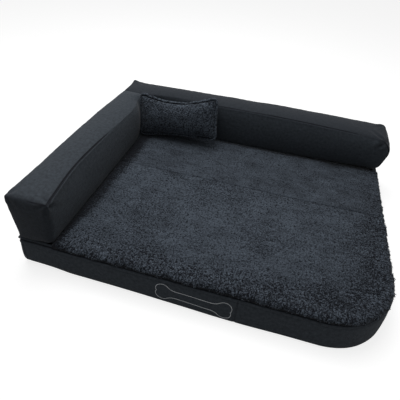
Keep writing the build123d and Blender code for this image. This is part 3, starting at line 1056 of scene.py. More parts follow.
def finish_back(piece):
    """Seams, folds at the right end, the small peak at the left, the flat nest corner and painted shade.
    """
    u, _, w = shares_of(piece).T
    seams = (
        ((1, 2), (0, 1), along((0, 0.4, 0.8, 0.87, 0.92, 1), (0, 1.2, 1.8, 1.6, 0.4, 0), u)),
        ((1, 2), (1, 1), 0.5),
        ((0, 2), (1, 1), 1.0),
        ((0, 1), (1, 0), 2.2),
        ((0, 1), (1, 1), 0.6),
    )
    points, painted_shade = sew(piece, back_size, 31, seams, back_folds)
    points = push(points, (472, 391, 0), 13, (2, 2, 2.5))
    points = push(points, (-484, 390, 0), 20, (-1, 2, 6))
    nest = points[:, 0] < -380 * mm
    points[nest, 1] = np.maximum(points[nest, 1], back_front * mm)
    # Painted shade: the inner face darker towards its foot, and the top darker towards the right.
    shaded = np.maximum(0.45 * (1 - w) ** 1.5, (0.56 + 0.12 * u) * smooth_step((w - 0.93) / 0.07))
    # A painted dark patch at the right tip, and painted shade on the right end.
    tip = np.array((0.486, 0.296, bolster_side_top - 0.026))
    shaded += 0.55 * np.exp(-((points - tip) ** 2).sum(axis=1) / (20 * mm) ** 2)
    shaded = np.maximum(shaded, 0.8 * smooth_step((u * back_size[0] - 975 * mm) / (9 * mm)))
    store(piece, "painted_shade", np.maximum(painted_shade, shaded))
    return points


back_cover = bolster("back_bolster_cover", back_size, back_form, back_edges)
close_bolster("back_bolster", back_cover, finish_back(back_cover), 1, ("left_cap", "right_cap"))

# %% [markdown]
# ## Flanges under the bolsters
# A doubled strip of canvas is sewn round the foot of each bolster and holds it to the base.
# It is a narrow strip along a rounded rectangle, so its cross-section is swept along that.

# %% Flanges
flange_radius, flange_step = 5 * mm, 5 * mm
flange_section = ((0.0, 0.9), (0.5, 0.1), (6, 0), (19, 0), (19.6, 1.3), (19, 2.6), (6, 2.6), (0.5, 2.1))
flange_thread = 4 * mm


def sweep(name, path, ways, section):
    """Carry a closed cross-section round a closed path. Its points are (inward, height)."""
    count, round_it = len(path), len(section)
    points = []
    for place, way in zip(path, ways):
        points += [(place[0] - way[0] * s, place[1] - way[1] * s, h) for s, h in section]
    faces = []
    uvs = []
    for index in range(count):
        here, there = index * round_it, (index + 1) % count * round_it
        for part in range(round_it):
            up = (part + 1) % round_it
            faces.append((here + part, there + part, there + up, here + up))
            a, b = index * flange_step, (index + 1) * flange_step
            low, high = part * flange_thread, up * flange_thread
            uvs += [(a, low), (b, low), (b, high), (a, high)]
    return new_piece(name, points, faces, uvs)


for prefix in ("left_bolster", "back_bolster"):
    low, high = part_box(f"{prefix}_flange")
    corners = [(high.x, low.y), (high.x, high.y), (low.x, high.y), (low.x, low.y)]
    turns = zip(corners, (-90, 0, 90, 180))
    path, ways = rounded_path([(*corner, flange_radius, first) for corner, first in turns], flange_step)
    wander = rough(np.column_stack([path, np.zeros(len(path))]), 40 * mm, 51)
    path = path + ways * ((0.8 + 0.9 * wander) * mm)[:, None]
    section = [(inward * mm, low.z + 0.2 * mm + height * mm) for inward, height in flange_section]
    strip = sweep(f"{prefix}_flange_strip", path, ways, section)
    strip.data.materials.append(canvas)
    finish_piece(strip, "bed", "canvas", f"{prefix}_flange")

# %% [markdown]
# ## Curly pile
# Sherpa plush is knitted with long loops that curl up into small clumps. Each clump is a
# rounded bump here, scattered at its real spacing, and real curls are planted between them.
# Hair would look finer, but only a mesh can be kept as a part's shape.

# %% Pile
curl_pitch = 4.8 * mm
curl_height = 4.2 * mm
curl_warp, curl_warp_size = 3.6 * mm, 9 * mm
small_curl = 0.52
tile = (97, 101)


def clumps(x, y, pitch, seed):
    """Height from 0 to 1 of rounded clumps scattered at a given spacing."""
    spots = np.random.default_rng(seed).random((*tile, 2))
    cell_x, cell_y = np.floor(x / pitch).astype(int), np.floor(y / pitch).astype(int)
    nearest = np.full(len(x), 9.0)
    for dx in (-1, 0, 1):
        for dy in (-1, 0, 1):
            spot = spots[(cell_x + dx) % tile[0], (cell_y + dy) % tile[1]]
            far_x = x / pitch - cell_x - dx - spot[:, 0]
            far_y = y / pitch - cell_y - dy - spot[:, 1]
            nearest = np.minimum(nearest, np.hypot(far_x, far_y))
    return np.clip(1 - 1.15 * nearest**2, 0, 1)


def pile_height(x, y, seed):
    """Clumps of two sizes, pulled about by a slow noise so that they curl."""
    flat = np.column_stack([x, y, np.zeros(len(x))])
    warp_x = rough(flat, curl_warp_size, seed) * curl_warp
    warp_y = rough(flat, curl_warp_size, seed + 1) * curl_warp
    large = clumps(x + warp_x, y + warp_y, curl_pitch, seed)
    small = clumps(x - warp_y, y + warp_x, curl_pitch * small_curl, seed + 2)
    return 0.72 * large + 0.28 * small


def grid_quads(number):
    """Quads of a grid whose points are numbered row by row."""
    corners = [number[:-1, :-1], number[1:, :-1], number[1:, 1:], number[:-1, 1:]]
    return np.stack(corners, axis=-1).reshape(-1, 4)


# %% [markdown]
# ## Planting curls with Geometry Nodes
# The tree scatters points over the plush, puts one small spiral on each, turns them at
# random and makes everything real. Its sizes are inputs, so the same tree serves the bed
# and the pillow. A fixed seed gives the same curls on every run.

# %% Tree tools


def tree_input(tree, name, kind, value=None):
    """Add a named input to a tree."""
    socket = tree.interface.new_socket(name=name, in_out="INPUT", socket_type=kind)
    if value is not None:
        socket.default_value = value


def new_tree(name, inputs):
    """A Geometry Nodes tree with a geometry in and out and named number inputs."""
    tree = bpy.data.node_groups.new(name, "GeometryNodeTree")
    tree_input(tree, "Geometry", "NodeSocketGeometry")
    for key, value in inputs.items():
        tree_input(tree, key, "NodeSocketInt" if isinstance(value, int) else "NodeSocketFloat", value)
    tree.interface.new_socket(name="Geometry", in_out="OUTPUT", socket_type="NodeSocketGeometry")
    return tree, add(tree, "NodeGroupInput").outputs


def close_tree(tree, shape, finish):
    """Make the instances real, give them their material and end the tree."""
    real = add(tree, "GeometryNodeRealizeInstances", {"Geometry": shape})
    covered = add(tree, "GeometryNodeSetMaterial", {"Geometry": real, "Material": finish})
    add(tree, "NodeGroupOutput", {0: covered})
    return tree


def run_tree(piece, tree, **values):
    """Run a tree on a piece with the given inputs and keep the plain mesh it makes."""
    step = piece.modifiers.new("nodes", "NODES")
    step.node_group = tree
    for item in tree.interface.items_tree:
        if item.item_type == "SOCKET" and item.in_out == "INPUT" and item.name in values:
            step[item.identifier] = values[item.name]
    return bake(piece)


# %% Curl tree
curl_sizes = {"density": 15000.0, "radius": 1.6 * mm, "height": 2.8 * mm, "fibre": 0.6 * mm, "seed": 4}
full_turn = 6.283


def curl_tree():
    """Spirals of fibre on the places where the pile grows."""
    tree, given = new_tree("plant curls", curl_sizes)
    grow = add(tree, "GeometryNodeInputNamedAttribute", {"Name": "grow"}, data_type="FLOAT")
    here = add(tree, "ShaderNodeMath", {0: grow, 1: given["density"]}, operation="MULTIPLY")
    spots = add(
        tree,
        "GeometryNodeDistributePointsOnFaces",
        {"Mesh": given["Geometry"], "Density": here, "Seed": given["seed"]},
        distribute_method="RANDOM",
    )
    thin = add(tree, "ShaderNodeMath", {0: given["radius"], 1: 0.45}, operation="MULTIPLY")
    coiled = {"Resolution": 6, "Rotations": 0.8, "Start Radius": given["radius"], "End Radius": thin}
    spiral = add(tree, "GeometryNodeCurveSpiral", {**coiled, "Height": given["height"]})
    fibre = add(tree, "GeometryNodeCurvePrimitiveCircle", {"Resolution": 3, "Radius": given["fibre"]})
    # Painted shade: each curl is darker at its root than at its tip.
    share = add(tree, "GeometryNodeSplineParameter")
    tip = add(tree, "ShaderNodeMapRange", {"Value": share, "To Min": 0.15, "To Max": 0.8})
    shaded = add(
        tree,
        "GeometryNodeStoreNamedAttribute",
        {"Geometry": spiral, "Name": "pile", "Value": tip},
        data_type="FLOAT",
        domain="POINT",
    )
    tube = {"Curve": shaded, "Profile Curve": fibre, "Fill Caps": True}
    curl = add(tree, "GeometryNodeCurveToMesh", tube)
    angles = {0: (-0.7, -0.7, 0.0), 1: (0.7, 0.7, full_turn), "Seed": given["seed"]}
    turn = add(tree, "FunctionNodeRandomValue", angles, data_type="FLOAT_VECTOR")
    sizes = {2: 0.7, 3: 1.3, "Seed": given["seed"]}
    size = add(tree, "FunctionNodeRandomValue", sizes, data_type="FLOAT")
    where = {"Points": spots, "Rotation": spots.outputs["Rotation"], "Scale": size.outputs[1]}
    planted = add(tree, "GeometryNodeInstanceOnPoints", {**where, "Instance": curl})
    leaning = {"Instances": planted, "Rotation": turn, "Local Space": True}
    turned = add(tree, "GeometryNodeRotateInstances", leaning)
    joined = add(tree, "GeometryNodeJoinGeometry", {0: turned})
    tree.links.new(given["Geometry"], joined.inputs[0])
    return close_tree(tree, joined, plush)


curl_nodes = curl_tree()
print("curl tree", len(curl_nodes.nodes), "nodes")

# %% [markdown]
# ## Plush top
# Two pieces of plush cover the base and meet in a cross seam. A fine grid is cut to the
# outline, its rim rolls under above the band, and the pile lifts it into clumps. The pile
# stands open at the rim and is pressed down at the bolsters, and both get painted shade.

# %% Grid of the plush
plush_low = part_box("plush_top_front")[0].z + 2 * mm
plush_rise = 8.0 * mm
plush_step = 1.7 * mm
rim_start, rim_out, rim_radius = 11 * mm, 4.5 * mm, 6.5 * mm
rim_grid = 26 * mm
nudge = 0.01 * mm


def rim_profile(gap):
    """Inset and height of the plush, and the angle of its surface, on its way in from the rim."""
    under = rim_start - rim_out - rim_radius
    arc = math.pi * rim_radius
    far = rim_grid + rim_start
    whole = under + arc + far - rim_out - rim_radius
    length = gap * whole / rim_grid
    angle = np.clip((length - under) / rim_radius, 0, math.pi) - math.pi / 2
    inset = np.where(length < under, rim_start - length, rim_out + rim_radius * (1 - np.cos(angle)))
    inset = np.where(length > under + arc, rim_out + rim_radius + length - under - arc, inset)
    inset = np.where(gap > rim_grid, gap + rim_start, inset)
    return inset, plush_rise - rim_radius + rim_radius * np.sin(angle), angle


def plush_grid(low, high):
    """A grid cut to the outline: places, gaps to the rim, the gap's slopes and quads."""
    columns = round((high.x - low.x) / plush_step)
    lines = round((high.y - low.y) / plush_step)
    x_line, y_line = np.linspace(low.x, high.x, columns + 1), np.linspace(low.y, high.y, lines + 1)
    x, y = [part.ravel() for part in np.meshgrid(x_line, y_line, indexing="ij")]
    gap = edge_distance(x, y, rim_start)
    slope_x = (edge_distance(x + nudge, y, rim_start) - gap) / nudge
    slope_y = (edge_distance(x, y + nudge, rim_start) - gap) / nudge
    quads = grid_quads(np.arange(len(x)).reshape(columns + 1, lines + 1))
    middle_gap = edge_distance(x[quads].mean(axis=1), y[quads].mean(axis=1), rim_start)
    outside = gap < 0
    x = np.where(outside, x - slope_x * gap, x)
    y = np.where(outside, y - slope_y * gap, y)
    return x, y, np.maximum(gap, 0), slope_x, slope_y, quads[middle_gap > 0]


def open_edge(quads):
    """The points on the open edge of a sheet of quads, in order."""
    edges = {}
    for quad in quads.tolist():
        for a, b in zip(quad, quad[1:] + quad[:1]):
            if (b, a) in edges:
                del edges[(b, a)]
            else:
                edges[(a, b)] = True
    after = dict(edges.keys())
    loop = [next(iter(after))]
    while after[loop[-1]] != loop[0]:
        loop.append(after[loop[-1]])
    return loop


def skirted(name, points, foot, quads):
    """A sheet of the grid's used points, closed by a skirt that runs down to their foot."""
    used = np.unique(quads)
    fresh = np.full(len(points), -1)
    fresh[used] = np.arange(len(used))
    quads = fresh[quads]
    loop = open_edge(quads)
    count = len(used)
    faces = quads.tolist()
    for index in range(len(loop)):
        after = (index + 1) % len(loop)
        faces.append([loop[after], loop[index], count + index, count + after])
    faces.append([count + index for index in range(len(loop))][::-1])
    skirt = foot[used[loop]]
    return new_piece(name, np.concatenate([points[used], skirt]), faces), used, len(loop)


# %% [markdown]
# ### From a flat grid to a soft surface
# Every number below is read from a grid point's place: how far it is from the rim, the
# seam and the bolsters. The same numbers give the height, the colour and the curls, so
# a spot where the pile is loose is higher, more curled and has more painted shade between its tufts.

# %% Plush top
seam_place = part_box("plush_top_front")[1].y
seam_groove = 2.6 * mm
wave_size, wave_height = 95 * mm, 1.3 * mm
roll_place, roll_width, roll_height = 17 * mm, 11 * mm, 1.8 * mm
deck_gap, skirt_inset = 0.1 * mm, 8 * mm
pile_middle = 0.62


def plush_top(name, node, behind, smoothness, seed):
    """One piece of the plush top. behind says that it lies behind the cross seam."""
    low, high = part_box(node)
    x, y, gap, slope_x, slope_y, quads = plush_grid(low, high)
    inset, height, angle = rim_profile(gap)
    upward, outward = np.sin(angle), np.cos(angle)
    top_share = np.clip(upward, 0, 1)
    flat = np.column_stack([x, y, np.zeros(len(x))])
    seam_gap = np.abs(y - seam_place)
    wall_gap = np.minimum(x - low.x, high.y - y if behind else 1.0)
    y += 1.5 * mm * rough(flat * [1, 0, 0], 55 * mm, 91) * np.exp(-seam_gap / (25 * mm))

    # How loose the pile stands: most at the rim and the open corner, and in patches.
    uneven = rough(flat, 30 * mm, seed + 5) + 0.6 * rough(flat, 12 * mm, seed + 6)
    corner = smooth_step((x - y - 500 * mm) / (250 * mm))
    loose = bell(gap, 55 * mm) + 0.7 * corner + 0.4 * rough(flat, 120 * mm, seed + 11) + 0.1
    loose = np.clip(loose, 0, 1) * (1 - 0.6 * behind)
    calm = smoothness * (1 - 0.7 * np.exp(-np.maximum(gap - rim_grid, 0) / (30 * mm)))
    calm = 1 - calm * (0.6 + 0.5 * rough(flat, 60 * mm, seed + 9))

    # Height: a sink at the seam and the walls, slow waves, a roll at the rim, then the pile.
    sunk = height * (1 - (0.2 if behind else 0.45) * bell(seam_gap, seam_groove))
    height = np.where(upward > 0, sunk, height)
    height = height * (0.45 + 0.55 * np.clip(wall_gap / (9 * mm), 0, 1) ** 0.5)
    height += wave_height * rough(flat, wave_size, seed + 7) * top_share
    height += roll_height * bell(inset - roll_place, roll_width) * top_share
    pile = pile_height(x, y, seed)
    lift = pile * curl_height * calm * (0.8 + 0.3 * loose) * (1 - 0.6 * bell(seam_gap, 2 * mm))
    lift *= 0.35 + 0.65 * smooth_step((upward + 1) / 0.8)
    drawn_in = 4.0 * mm * smooth_step((x - 440 * mm) / (40 * mm)) * np.exp(-gap / (60 * mm))
    wander = (1.0 + 3.2 * uneven) * mm * outward
    move = gap + rim_start - inset + wander + lift * outward - drawn_in
    points = np.column_stack([x - slope_x * move, y - slope_y * move, plush_low + height + lift * upward])

    # The skirt stands on the deck, drawn in a little along the rim.
    foot = np.column_stack([x, y, np.full(len(x), deck_height + deck_gap)])
    foot[:, :2] += np.column_stack([slope_x, slope_y]) * (gap < mm)[:, None] * skirt_inset
    piece, used, rim_count = skirted(name, points, foot, quads)

    # Painted shade, where less light reaches: loose pile, the rim and its side that faces down, the foot
    # of the bolsters, and a little more towards the right.
    lit = smooth_step((upward + 0.3 + 0.5 * uneven) / 0.6)
    reach = 16 * mm + 22 * mm * smooth_step((y + 340 * mm) / (140 * mm))
    pressed_and_shaded = np.maximum(np.exp(-(((x - low.x) / reach) ** 4)), bell(wall_gap, 12 * mm))
    shade = 0.36 * loose + 0.12 * np.exp(-gap / (70 * mm)) + 0.6 * pressed_and_shaded
    shade += 0.05 * smooth_step((x - 150 * mm) / (300 * mm))
    contrast = (0.9 + 0.9 * loose) * (1 - 0.35 * behind)
    depth = 0.5 + contrast * (pile * calm - pile_middle) - shade
    none = np.zeros(rim_count)
    # The pile attribute carries this painted shade; the skirt under the rim gets the root colour, as full
    # painted shade.
    store(piece, "pile", np.concatenate([(depth * lit - 1.0 + lit)[used], none - 1.0]))
    store(piece, "loose", np.concatenate([loose[used], none]))
    store(piece, "grow", np.concatenate([(calm * lit * (1 - pressed_and_shaded))[used], none]))
    run_tree(piece, curl_nodes, seed=seed)
    finish_piece(piece, "bed", "plush", node)


plush_top("plush_front", "plush_top_front", False, 0.3, 61)
plush_top("plush_rear", "plush_top_rear", True, 0.65, 71)

# %% [markdown]
# ## The pillow
# A small stuffed pillow leans in the corner. It is two layers of plush sewn along the edge
# with a narrow lip, so its sides pull in between its corners. Its form starts close to
# that shape, air pressure pulls it into soft waves, and the pile is added last.

# %% Pillow form
pillow_width, pillow_height, pillow_depth = 299 * mm, 160 * mm, 74 * mm
pillow_step = 2.0 * mm
lip = 7.5 * mm
lip_depth = 2.6 * mm
pillow_sag, pillow_draw = 30 * mm, 12 * mm


def pillow_sheet():
    """Two layers that share their edge: shares from -1 to 1, faces and which side."""
    columns, lines = round(pillow_width / pillow_step), round(pillow_height / pillow_step)
    s_line, t_line = np.linspace(-1, 1, columns + 1), np.linspace(-1, 1, lines + 1)
    s, t = [part.ravel() for part in np.meshgrid(s_line, t_line, indexing="ij")]
    front = np.arange(len(s)).reshape(columns + 1, lines + 1)
    back = front.copy()
    back[1:-1, 1:-1] = len(s) + np.arange((columns - 1) * (lines - 1)).reshape(columns - 1, lines - 1)
    faces = grid_quads(front).tolist() + grid_quads(back)[:, ::-1].tolist()
    inner = np.zeros((columns + 1, lines + 1), bool)
    inner[1:-1, 1:-1] = True
    inner = inner.ravel()
    side = np.concatenate([np.ones(len(s)), -np.ones(inner.sum())])
    s, t = np.concatenate([s, s[inner]]), np.concatenate([t, t[inner]])
    side[(np.abs(s) == 1) | (np.abs(t) == 1)] = 0
    return s, t, side, faces


def pillow_form(s, t, side):
    """Crowned in the middle, thin along the lip, drawn in between the corners."""
    x = s * (1 - 0.05 * t**10) * (pillow_width / 2 - 4 * mm * (1 - t**2) ** 1.2)
    drawn = np.where(t > 0, pillow_sag, pillow_draw) * (1 - s**2) ** 1.1
    y = t * (1 - 0.1 * s**16) * (pillow_height / 2 - drawn)
    lip_x, lip_y = 2 * lip / pillow_width, 2 * lip / pillow_height
    in_x = np.clip((1 - np.abs(s)) / (1 - lip_x) - lip_x, 0, 1)
    in_y = np.clip((1 - np.abs(t)) / (1 - lip_y) - lip_y, 0, 1)
    full = (1 - (1 - in_x) ** 2.6) ** 0.62 * (1 - (1 - in_y) ** 2.2) ** 0.62
    edge = lip_depth * np.abs(side)
    return np.column_stack([x, y, side * (pillow_depth / 2 - 4 * mm) * full + side * edge])


# %% Pillow
pillow_lean, pillow_roll = math.radians(18), math.radians(6)
pillow_left = -411 * mm
pillow_pressure, pillow_reach = 3.0, 5 * mm
lip_hold = 0.6
swell_size, swell_height = 55 * mm, 2.4 * mm
pucker_size, pucker_height, pucker_reach = 13 * mm, 1.5 * mm, 14 * mm
lip_wave_size, lip_wave_height = 18 * mm, 1.6 * mm


def pillow_pile(piece, s, t, side, gap):
    """Waves, puckers along the lip and the pile, with what the shader needs of them, painted shade in the
    groove among it.
    """
    points, normals = points_of(piece.data), normals_of(piece.data)
    real = np.column_stack([s * pillow_width / 2, t * pillow_height / 2, side * 9 * mm])
    swell = rough(real, swell_size, 81) * swell_height * np.clip(gap / (20 * mm), 0, 1)
    points += swell[:, None] * normals
    from_side, from_end = (1 - np.abs(s)) * pillow_width / 2, (1 - np.abs(t)) * pillow_height / 2
    pucker = rough(real * [1, 0.3, 1], pucker_size, 83) * pucker_height
    points += (pucker * np.exp(-gap / pucker_reach) * (gap > 5 * mm))[:, None] * normals
    lip_wave = rough(real * [1, 0, 0], lip_wave_size, 89) * lip_wave_height
    points[:, 1] += lip_wave * np.sign(t) * (from_end < lip)
    normals = normals_of(piece.data)
    pile = pile_height(real[:, 0] + np.where(side < 0, 0.37, 0.0), real[:, 1], 85)
    along_top = 0.25 + 0.75 * smooth_step((from_side - from_end) / (14 * mm) + 0.5)
    in_groove = bell(gap - lip, 2.2 * mm) * along_top
    calm = 1 - 0.3 * (0.5 + 0.5 * rough(real, 60 * mm, 87))
    lift = pile * curl_height * calm * (1 - 0.8 * in_groove)
    # Painted shade in the groove beside the lip; the lip itself is a little lighter.
    store(piece, "pile", 0.3 + 1.5 * (pile * calm - 0.6) - 0.8 * in_groove + 0.12 * (gap < lip * 0.6))
    store(piece, "loose", np.full(len(points), 0.8))
    store(piece, "grow", (1 - in_groove) * calm)
    return points + (lift - 2.6 * mm * in_groove)[:, None] * normals


def lean_pillow(points):
    """Lean the pillow back and set it where the CAD nodes have it."""
    turn = Matrix.Rotation(math.pi / 2 - pillow_lean, 3, "X") @ Matrix.Rotation(pillow_roll, 3, "Z")
    points = points @ np.array(turn).T
    boxes = [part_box("pillow_front_panel"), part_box("pillow_back_panel")]
    low = np.min([tuple(box[0]) for box in boxes], axis=0)
    high = np.max([tuple(box[1]) for box in boxes], axis=0)
    points += (low + high) / 2 - (points.min(axis=0) + points.max(axis=0)) / 2
    points[:, 0] += pillow_left - points[:, 0].min()
    points[:, 2] += low[2] - points[:, 2].min() + 0.3 * mm
    return points


def make_pillow():
    """Form, swell, pile and place the pillow."""
    s, t, side, faces = pillow_sheet()
    piece = new_piece("pillow_plush", pillow_form(s, t, side), faces)
    gap = np.minimum((1 - np.abs(s)) * pillow_width / 2, (1 - np.abs(t)) * pillow_height / 2)
    held = np.where(gap < lip * 0.9, lip_hold, 0.0)
    inflate(piece, held, pillow_pressure, pillow_reach, stiffness=8.0, frames=14)
    move_points(piece, lean_pillow(pillow_pile(piece, s, t, side, gap)))
    run_tree(piece, curl_nodes, seed=9)
    finish_piece(piece, "pillow", "plush", "pillow_front_panel", "pillow_back_panel", "pillow_filling")


make_pillow()

# %% [markdown]
# ## Stitches and loops
# A sewn line is a row of short thread ends, each as long as the stitch and a little
# slimmer at its tips, and a zip's coil is a row of loops. One tree lays both, as small
# balls that are stretched and set along a line at a pitch given in metres.

# %% Row tree


def row_tree(name, sizes, rings, finish):
    """Balls along a line, each stretched to a length, a width and a height of its own."""
    tree, given = new_tree(name, sizes)
    line = add(tree, "GeometryNodeMeshToCurve", {"Mesh": given["Geometry"]})
    spacing = {"Curve": line, "Length": given["pitch"]}
    spaced = add(tree, "GeometryNodeResampleCurve", spacing, mode="LENGTH")
    ball = add(tree, "GeometryNodeMeshUVSphere", {"Segments": 6, "Rings": rings, "Radius": 0.5})
    sides = {0: given["length"], 1: given["width"], 2: given["height"]}
    shape = add(tree, "ShaderNodeCombineXYZ", sides)
    forward = {"Vector": add(tree, "GeometryNodeInputTangent")}
    heading = add(tree, "FunctionNodeAlignRotationToVector", forward, axis="X")
    where = {"Points": spaced, "Instance": ball, "Rotation": heading, "Scale": shape}
    return close_tree(tree, add(tree, "GeometryNodeInstanceOnPoints", where), finish)


stitch_sizes = {"pitch": 2.6 * mm, "length": 3.4 * mm, "width": 1.4 * mm, "height": 1.4 * mm}
stitch_nodes = row_tree("lay stitches", stitch_sizes, 5, thread)


def onto(piece, starts, direction):
    """Where rays from some places first meet a piece."""
    corners = [vertex.co for vertex in piece.data.vertices]
    tree = BVHTree.FromPolygons(corners, [tuple(face.vertices) for face in piece.data.polygons])
    hits = [tree.ray_cast(Vector(start), Vector(direction))[0] for start in starts]
    return [hit for hit in hits if hit is not None]


# %% [markdown]
# ## The bone on the front
# A common outline of a bone is sewn on the front in pale thread. Its line is made of two
# arcs and a straight in each quarter, mirrored twice and laid onto the curved band.

# %% Bone
bone_length, bone_height, bone_neck = 204 * mm, 57 * mm, 27 * mm
lobe, flare = 19 * mm, 32 * mm
bone_lift, bone_tilt = 1 * mm, math.radians(-2)
stitch_proud = 0.4 * mm


def arc_points(centre, radius, first, last, count):
    """Points on an arc, from one angle to another in degrees."""
    angles = np.radians(np.linspace(first, last, count))
    return [(centre[0] + radius * math.cos(a), centre[1] + radius * math.sin(a)) for a in angles]


def bone_line():
    """The outline of the bone about its middle."""
    lobe_x, lobe_y = bone_length / 2 - lobe, bone_height / 2 - lobe
    flare_y = bone_neck / 2 + flare
    flare_x = lobe_x - math.sqrt((lobe + flare) ** 2 - (flare_y - lobe_y) ** 2)
    lean = math.degrees(math.atan2(lobe_y - flare_y, lobe_x - flare_x))
    notch = -math.degrees(math.atan2(lobe_y, math.sqrt(lobe**2 - lobe_y**2)))
    quarter = [(x, bone_neck / 2) for x in np.linspace(0, flare_x, 16)[:-1]]
    quarter += arc_points((flare_x, flare_y), flare, -90, lean, 7)
    quarter += arc_points((lobe_x, lobe_y), lobe, 180 + lean, notch, 18)[1:]
    half = quarter + [(x, -y) for x, y in quarter[::-1][1:]]
    return half + [(-x, y) for x, y in half[::-1][1:-1]]


bone_low, bone_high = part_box("bone_embroidery")
middle_x, middle_z = (bone_low.x + bone_high.x) / 2, (bone_low.z + bone_high.z) / 2 + bone_lift
cosine, sine = math.cos(bone_tilt), math.sin(bone_tilt)
starts = [
    (middle_x + x * cosine - z * sine, -0.6, middle_z + x * sine + z * cosine) for x, z in bone_line()
]
places = [place - Vector((0, stitch_proud, 0)) for place in onto(cover, starts, (0, 1, 0))]
edges = [(index, (index + 1) % len(places)) for index in range(len(places))]
bone = run_tree(new_piece("bone_stitches", places, [], edges=edges), stitch_nodes)
finish_piece(bone, "bed", "thread", "bone_embroidery")
print("bone", [round(side / mm) for side in bone.dimensions], "mm")

# %% [markdown]
# ## Zips
# A nylon zip has one coil sewn to each half of its tape. The coils lock into each other,
# so a closed zip is a row of narrow loops. The loops are one instance on a line of points.

# %% Zip tools
coil_sizes = {"pitch": 1.5 * mm, "width": 5.8 * mm, "length": 1.2 * mm, "height": 1.6 * mm}
coil_nodes = row_tree("lay a zip coil", coil_sizes, 4, nylon)
coil_end, coil_out = 0.8 * mm, 1.8 * mm
stem_half, stem_out, stem_round = 1.4 * mm, 1.6 * mm, 0.3 * mm
tape_split, tape_round = 0.2 * mm, 0.25 * mm


def box_piece(name, low, high, bevel, finish):
    """A small rounded block between two corners."""
    corners = [(x, y, z) for x in (low[0], high[0]) for y in (low[1], high[1]) for z in (low[2], high[2])]
    faces = [(0, 1, 3, 2), (4, 6, 7, 5), (0, 4, 5, 1), (2, 3, 7, 6), (0, 2, 6, 4), (1, 5, 7, 3)]
    piece = new_piece(name, corners, faces)
    step = piece.modifiers.new("round", "BEVEL")
    step.width = bevel
    step.segments = 2
    piece.data.materials.append(finish)
    return bake(piece)


def join_into(piece, other):
    """Join another piece's mesh into one piece."""
    bpy.ops.object.select_all(action="DESELECT")
    piece.select_set(True)
    other.select_set(True)
    bpy.context.view_layer.objects.active = piece
    bpy.ops.object.join()


def coil_loops(name, start, length, along_axis, out_axis):
    """A row of loops, laid along X by the tree and then turned into its place."""
    piece = new_piece(name, [(0, 0, 0), (length, 0, 0)], [], edges=[(0, 1)])
    run_tree(piece, coil_nodes)
    points = points_of(piece.data)
    placed = np.empty_like(points)
    placed[:, along_axis] = start[along_axis] + points[:, 0]
    placed[:, out_axis] = start[out_axis] + points[:, 2]
    placed[:, 2] = start[2] + points[:, 1]
    move_points(piece, placed)
    if out_axis == 1:
        piece.data.flip_normals()
    return piece


# %% Zips


def dress_zip(prefix, along_axis, out_axis):
    """The coil and the two halves of the tape, in the place of their CAD nodes."""
    low, high = [np.array(corner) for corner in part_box(f"{prefix}_zip_coil")]
    outward = (-1, 1)[out_axis]
    face = (high, low)[out_axis][out_axis]
    start = (low + high) / 2
    stem_low, stem_high = start.copy(), start.copy()
    start[along_axis] = low[along_axis] + coil_end
    start[out_axis] = face + outward * coil_out
    length = high[along_axis] - coil_end - start[along_axis]
    coil = coil_loops(f"{prefix}_coil_loops", start, length, along_axis, out_axis)
    stem_low[along_axis], stem_high[along_axis] = low[along_axis], high[along_axis]
    stem_low[2] -= stem_half
    stem_high[2] += stem_half
    stem_low[out_axis], stem_high[out_axis] = sorted((face, face + outward * stem_out))
    join_into(coil, box_piece(f"{prefix}_stem", stem_low, stem_high, stem_round, nylon))
    finish_piece(coil, "bed", "zip_coil", f"{prefix}_zip_coil")

    low, high = [np.array(corner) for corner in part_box(f"{prefix}_zip_tape")]
    middle = (low[2] + high[2]) / 2
    halves = []
    for side, edge in ((-1, low[2]), (1, high[2])):
        first, last = low.copy(), high.copy()
        first[2], last[2] = sorted((middle + side * tape_split, edge))
        halves.append(box_piece(f"{prefix}_tape_halves", first, last, tape_round, tape_cloth))
    join_into(*halves)
    finish_piece(halves[0], "bed", "zip_tape", f"{prefix}_zip_tape")


dress_zip("base", 0, 1)
dress_zip("left_bolster", 1, 0)
dress_zip("back_bolster", 0, 1)

# %% [markdown]
# ## Finishes of the parts that keep their CAD shape
# Sliders, pulls and stops are metal, and the hook and loop strips lie hidden under the
# bolsters. Their shapes are right already, so they only get their materials.

# %% Finishes of CAD parts
cad_finishes = {
    "_zip_slider": zinc,
    "_zip_pull": zinc,
    "_zip_stops": steel,
    "_hook_strips": hook_nylon,
    "_loop_strips": tape_cloth,
}
for ending, finish in cad_finishes.items():
    kept = [node for name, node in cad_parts.items() if name.endswith(ending)]
    for node in kept:
        node.data.materials.clear()
        node.data.materials.append(finish)
    print(len(kept), "nodes in", finish.name)

# %% [markdown]
# ## Grip panel
# The underside is a coated cloth with printed rubber dots, so that the bed doesn't slide.
# Geometry Nodes put one low dome on each point of a grid that is cut to the outline.

# %% Grip panel
dot_pitch = 13 * mm
dot_margin, tucked_margin = 16 * mm, 20 * mm
dot_height = 0.9 * mm
grip_rows = ((0.8, 1.6), (0.95, 0.8), (1.4, 0.5), (1.85, 0.8), (2.0, 1.6))
# The coating fills the weave, so the cloth is darker and flatter than the canvas.
grip_cloth = canvas_material("coated grip cloth", "#1e2022", "#34383b", 1.4 * mm, "Object")


def grip_sheet():
    """A thin closed sheet in the base's outline."""
    places, ways, _ = outline(10 * mm)
    places = places - ways * bottom_tuck(places, ways)[:, None]
    rows = [ring(places, ways, -inset * mm, height * mm) for height, inset in grip_rows]
    piece = new_piece("grip_panel", np.concatenate(rows), ring_faces(rows))
    piece.data.materials.append(grip_cloth)
    return piece


